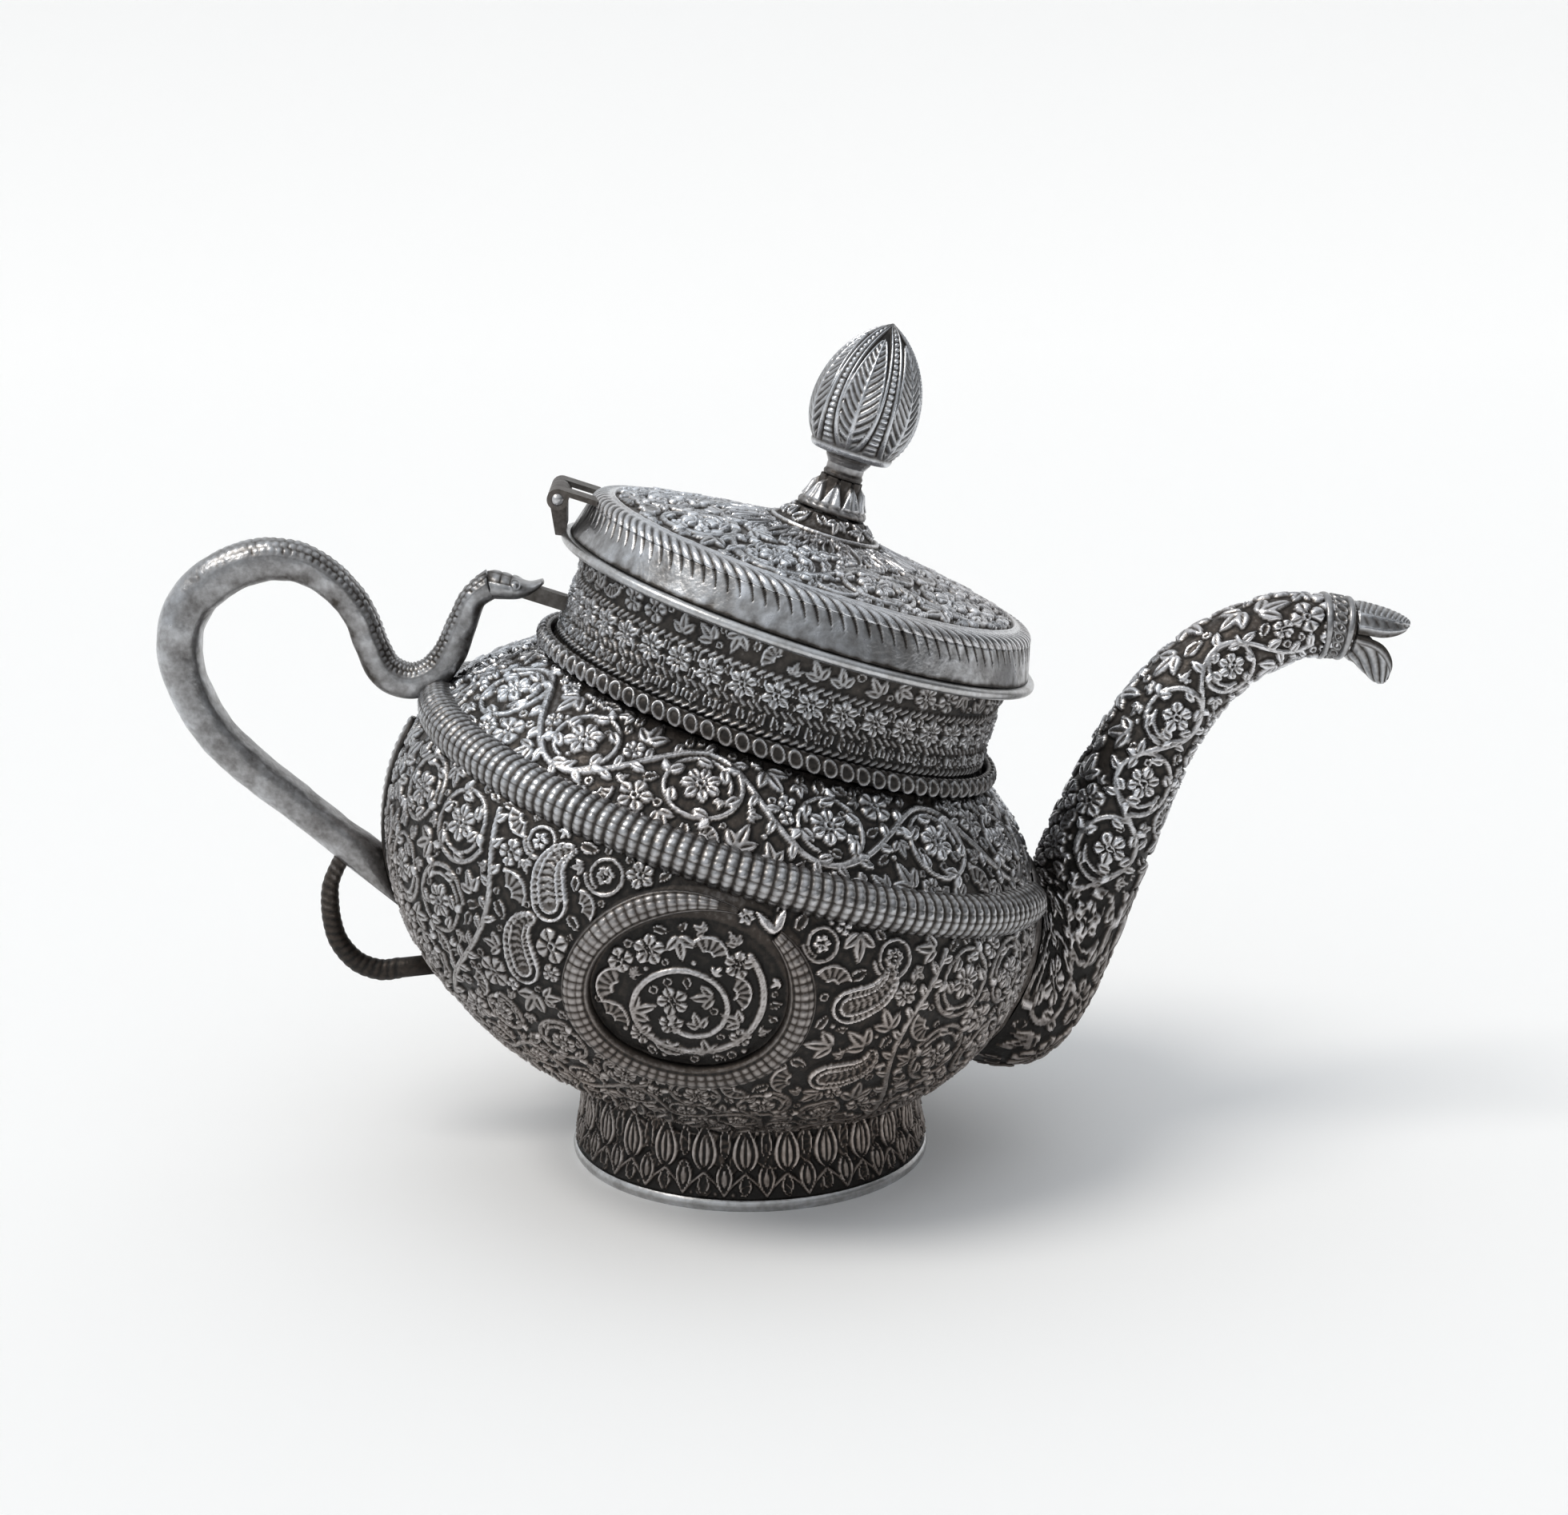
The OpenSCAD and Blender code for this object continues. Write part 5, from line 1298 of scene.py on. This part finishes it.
def cut_band():
    """The lid's side band, plain below and cut toward its top."""
    turn = np.arange(1400)[None] / 1400
    phi = 2 * math.pi * turn
    h = np.linspace(LID_GAP, EDGE_H, 24)[:, None]
    cut = edge_cuts(turn, h - EDGE_H)
    dents = hammered(cut.shape, 91, 0.025, 16)
    h_in = np.linspace(EDGE_H, LID_GAP, 4)[:, None]
    outer = band_radius(h) - 0.5 * cut + dents * np.clip(h - LID_GAP, 0, 1)
    # Painted shade: a dark strip along the band's lower edge, in the gap over the mouth flange. The darkness
    # in the cuts is oxide.
    wear_and_shade = np.clip(0.5 - 0.8 * cut - 0.5 * soft_ridge(h, LID_GAP, 0.55) + 3 * dents, 0, 1)
    shell("lid_band_cut", "lid_band", spun(outer, phi, RIM_T + h),
          spun(band_radius(h_in) - LID_SHEET, phi, RIM_T + h_in), wear_and_shade, 0.3, WORN, "lid")


cut_band()

# ---- finial ----
CALYX_FOOT, CALYX_H, STEM_H, STEM_R = LID_TOP_H + 0.05, 7.0, 4.6, 4.1
STEM_FOOT = CALYX_FOOT + CALYX_H
BUD_FOOT, BUD_R, BUD_H, BUD_WIDE, BUD_FLOOR = STEM_FOOT + STEM_H, 10.8, 27.4, 9.5, 7.0
BUD_UP_R = ((BUD_H - BUD_WIDE) ** 2 + BUD_R ** 2) / (2 * BUD_R)
BUD_LOW_R = (BUD_WIDE ** 2 + (BUD_R - BUD_FLOOR) ** 2) / (2 * (BUD_R - BUD_FLOOR))


def solid_turned(name, node, points, relief, n, material, step):
    """A finial piece turned from a profile, with the heights and wear that relief gives."""
    p, normal, s = profile(points, step)
    h, wear_and_shade = relief(np.arange(n)[None] / n, s[:, None], s[-1])
    skin(name, node, turned(p, normal, h), wear_and_shade, material, "lid")


def bud_relief(x, s, length):
    """Six beaded ribs, and a veined leaf in the panel between each two."""
    k = s / length
    girth = np.clip(np.sin(math.pi * np.clip((k - 0.12) / 0.95, 0, 1)), 0.12, 1)
    across = ((x * 6 + 0.2) % 1 - 0.5) * 2 * math.pi * BUD_R / 6 * girth
    far = np.abs(across)
    rib_at = math.pi * BUD_R / 6 * girth - far
    bead = humps(s / 1.25, 0.5) * round_bump(rib_at / 0.75)
    border = round_bump((rib_at - 1.35) / 0.42)
    vein = humps(s / 1.7 - 0.55 * far - 0.03 * far ** 2, 0.8)
    leaf_wide = 3.6 * np.sin(math.pi * np.clip((k - 0.2) / 0.66, 0, 1)) ** 0.7
    panel = rib_at > 1.8
    inside = (far < leaf_wide) * panel
    rim = round_bump((far - leaf_wide) / 0.35) * (leaf_wide > 0.4) * panel
    spine = round_bump(far / 0.4) * inside
    env = np.clip(np.minimum(k * 9 - 1.7, (1 - k) * 10), 0, 1)
    h = env * np.maximum.reduce([0.7 * bead, 0.6 * border, 0.5 * vein * inside, 0.6 * rim, 0.6 * spine])
    h = np.maximum(h, 0.6 * round_bump(s - BUD_FLOOR - 0.9))
    return h - 0.4 * env, np.clip(1.25 * h + 0.3 * (1 - env) * (s > 9), 0, 1)


bud_low = arc((BUD_R - BUD_LOW_R, BUD_FOOT + BUD_WIDE), BUD_LOW_R,
              -math.degrees(math.asin(BUD_WIDE / BUD_LOW_R)), 0, 14)
bud_up = arc((BUD_R - BUD_UP_R, BUD_FOOT + BUD_WIDE), BUD_UP_R,
             0, math.degrees(math.acos((BUD_UP_R - BUD_R) / BUD_UP_R)), 24)
bud_points = [(0.3, BUD_FOOT)] + bud_low + bud_up[1:-1] + [(0.15, BUD_FOOT + BUD_H)]
solid_turned("finial_bud_ribbed", "finial_bud", bud_points, bud_relief, 340, WORN, 0.24)


def calyx_relief(x, s, length):
    """A rope at the foot and nine leaves that stand up round the stem."""
    y = s - LID_TOP_R
    rope = 0.55 * round_bump((y - 0.8) / 0.7) * (0.55 + 0.45 * np.abs(np.sin(60 * x + y)))
    leaves = np.abs(np.sin(math.pi * 9 * x))
    tip = np.clip((leaves - np.clip(y / 6.2, 0, 1) ** 1.5 * 1.05 + 0.22) * 3, 0, 1)
    tip = tip * np.clip((6.6 - y) * 3, 0, 1) * (y > 1.4)
    vein = soft_ridge(leaves, 1, 0.05) * (y > 1.4)
    h = np.maximum(rope, (0.75 + 0.35 * np.clip(y / 4, 0, 1)) * tip) - 0.3 * vein
    h = h * (y > 0) * (y < length - 2 * LID_TOP_R + 6)
    return h - 0.1, np.clip(0.14 + h * 0.6, 0, 1)


calyx_r = CALYX_H * 1.35
calyx_points = [(0.3, CALYX_FOOT)] + [
    (min(LID_TOP_R, STEM_R + 0.3 + calyx_r - math.sqrt(calyx_r ** 2 - (t - CALYX_H) ** 2)), CALYX_FOOT + t)
    for t in np.linspace(0.0, CALYX_H, 26)] + [(0.3, CALYX_FOOT + CALYX_H)]
solid_turned("finial_calyx_leaved", "finial_calyx", calyx_points, calyx_relief, 216,
             CHASED, 0.25)


def stem_relief(x, s, length):
    """One soft ring round the stem's middle."""
    ring = 0.3 * round_bump((s / length - 0.5) / 0.12) + 0 * x
    return ring, 0.2 + ring


stem_points = [(0.3, STEM_FOOT), (STEM_R - 0.2, STEM_FOOT), (STEM_R, STEM_FOOT + 0.7),
               (STEM_R - 0.5, STEM_FOOT + 1.5), (STEM_R - 0.6, STEM_FOOT + 2.6),
               (STEM_R, STEM_FOOT + 3.5), (STEM_R + 0.7, STEM_FOOT + 4.2),
               (STEM_R + 0.5, STEM_FOOT + STEM_H), (0.3, STEM_FOOT + STEM_H)]
solid_turned("finial_stem_turned", "finial_stem", stem_points, stem_relief, 96, CHASED, 0.2)

# ---- what stays as the CAD has it ----
# The parts given SHADE get painted shade: a dimmer silver, since they sit in shadow.
for names, material in (
        (("mouth_flange", "foot_base_wire", "hinge_pin"), PLAIN),
        (("lid_bezel", "hinge_pot_knuckle", "hinge_lid_knuckles", "handle_mouth_peg", "finial_stud",
          "finial_washer"), SHADE)):
    for node in names:
        for slot in frame["nodes"][node].material_slots:
            slot.material = material


# ---- stage, light and camera ----
def paper(name, colour):
    """A matt material without texture."""
    m = bpy.data.materials.new(name)
    m.use_nodes = True
    shader = m.node_tree.nodes["Principled BSDF"]
    shader.inputs["Base Color"].default_value = (*colour, 1)
    shader.inputs["Roughness"].default_value = 0.95
    shader.inputs["Specular IOR Level"].default_value = 0.1
    return m


def sweep_of_paper():
    """A floor that curves up into a wall behind the pot."""
    side, front, back, bend_r, top = 14.0, -14.0, 2.2, 1.6, 5.0
    bend = [(back + bend_r * math.sin(a), bend_r - bend_r * math.cos(a))
            for a in np.linspace(0, math.pi / 2, 33)]
    line = [(front, 0.0), *bend, (back + bend_r, top)]
    mesh = bpy.data.meshes.new("paper_sweep")
    mesh.from_pydata([(x, y, z) for y, z in line for x in (-side, 0, side)], [],
                     [(i * 3 + j, i * 3 + j + 1, i * 3 + j + 4, i * 3 + j + 3)
                      for i in range(len(line) - 1) for j in range(2)])
    mesh.polygons.foreach_set("use_smooth", np.ones(len(mesh.polygons), bool))
    mesh.materials.append(paper("paper", (0.95, 0.95, 0.95)))
    sheet = bpy.data.objects.new("paper_sweep", mesh)
    bpy.context.scene.collection.objects.link(sheet)


def room_light(low, high, toward):
    """A dim room with a broad bright side."""
    w = bpy.data.worlds.new("room")
    bpy.context.scene.world = w
    w.use_nodes = True
    nodes, links = w.node_tree.nodes, w.node_tree.links
    coord, dot = nodes.new("ShaderNodeTexCoord"), nodes.new("ShaderNodeVectorMath")
    dot.operation = "DOT_PRODUCT"
    links.new(coord.outputs["Generated"], dot.inputs[0])
    dot.inputs[1].default_value = toward
    ramp = nodes.new("ShaderNodeMapRange")
    ramp.interpolation_type = "SMOOTHSTEP"
    links.new(dot.outputs["Value"], ramp.inputs["Value"])
    ramp.inputs["From Min"].default_value, ramp.inputs["From Max"].default_value = -0.35, 0.85
    ramp.inputs["To Min"].default_value, ramp.inputs["To Max"].default_value = low, high
    links.new(ramp.outputs["Result"], nodes["Background"].inputs["Strength"])
    nodes["Background"].inputs["Color"].default_value = (0.93, 0.965, 1.0, 1)


def sun(name, strength, elevation, azimuth, spread, colour):
    """A sun lamp that shines from azimuth, measured from +X toward +Y, at an elevation."""
    lamp = bpy.data.lights.new(name, "SUN")
    lamp.energy, lamp.angle, lamp.color = strength, math.radians(spread), colour
    o = bpy.data.objects.new(name, lamp)
    bpy.context.scene.collection.objects.link(o)
    o.rotation_euler = (0, math.radians(90 - elevation), math.radians(azimuth))


sweep_of_paper()
room_light(0.1, 0.88, (-0.48, -0.04, 0.88))
sun("key", 1.2, 56, 205, 24, (1.0, 0.96, 0.9))

camera_data = bpy.data.cameras.new("camera")
camera_data.sensor_width, camera_data.lens = 36.0, 57.6
camera_data.clip_start, camera_data.clip_end = 0.01, 60
camera = bpy.data.objects.new("camera", camera_data)
bpy.context.scene.collection.objects.link(camera)
camera.location = (-0.0149, -0.5, 0.2036)
camera.rotation_euler = (math.radians(90 - 13.46), 0, math.radians(-2.52))
bpy.context.scene.camera = camera
bpy.context.scene.view_settings.view_transform = "Standard"
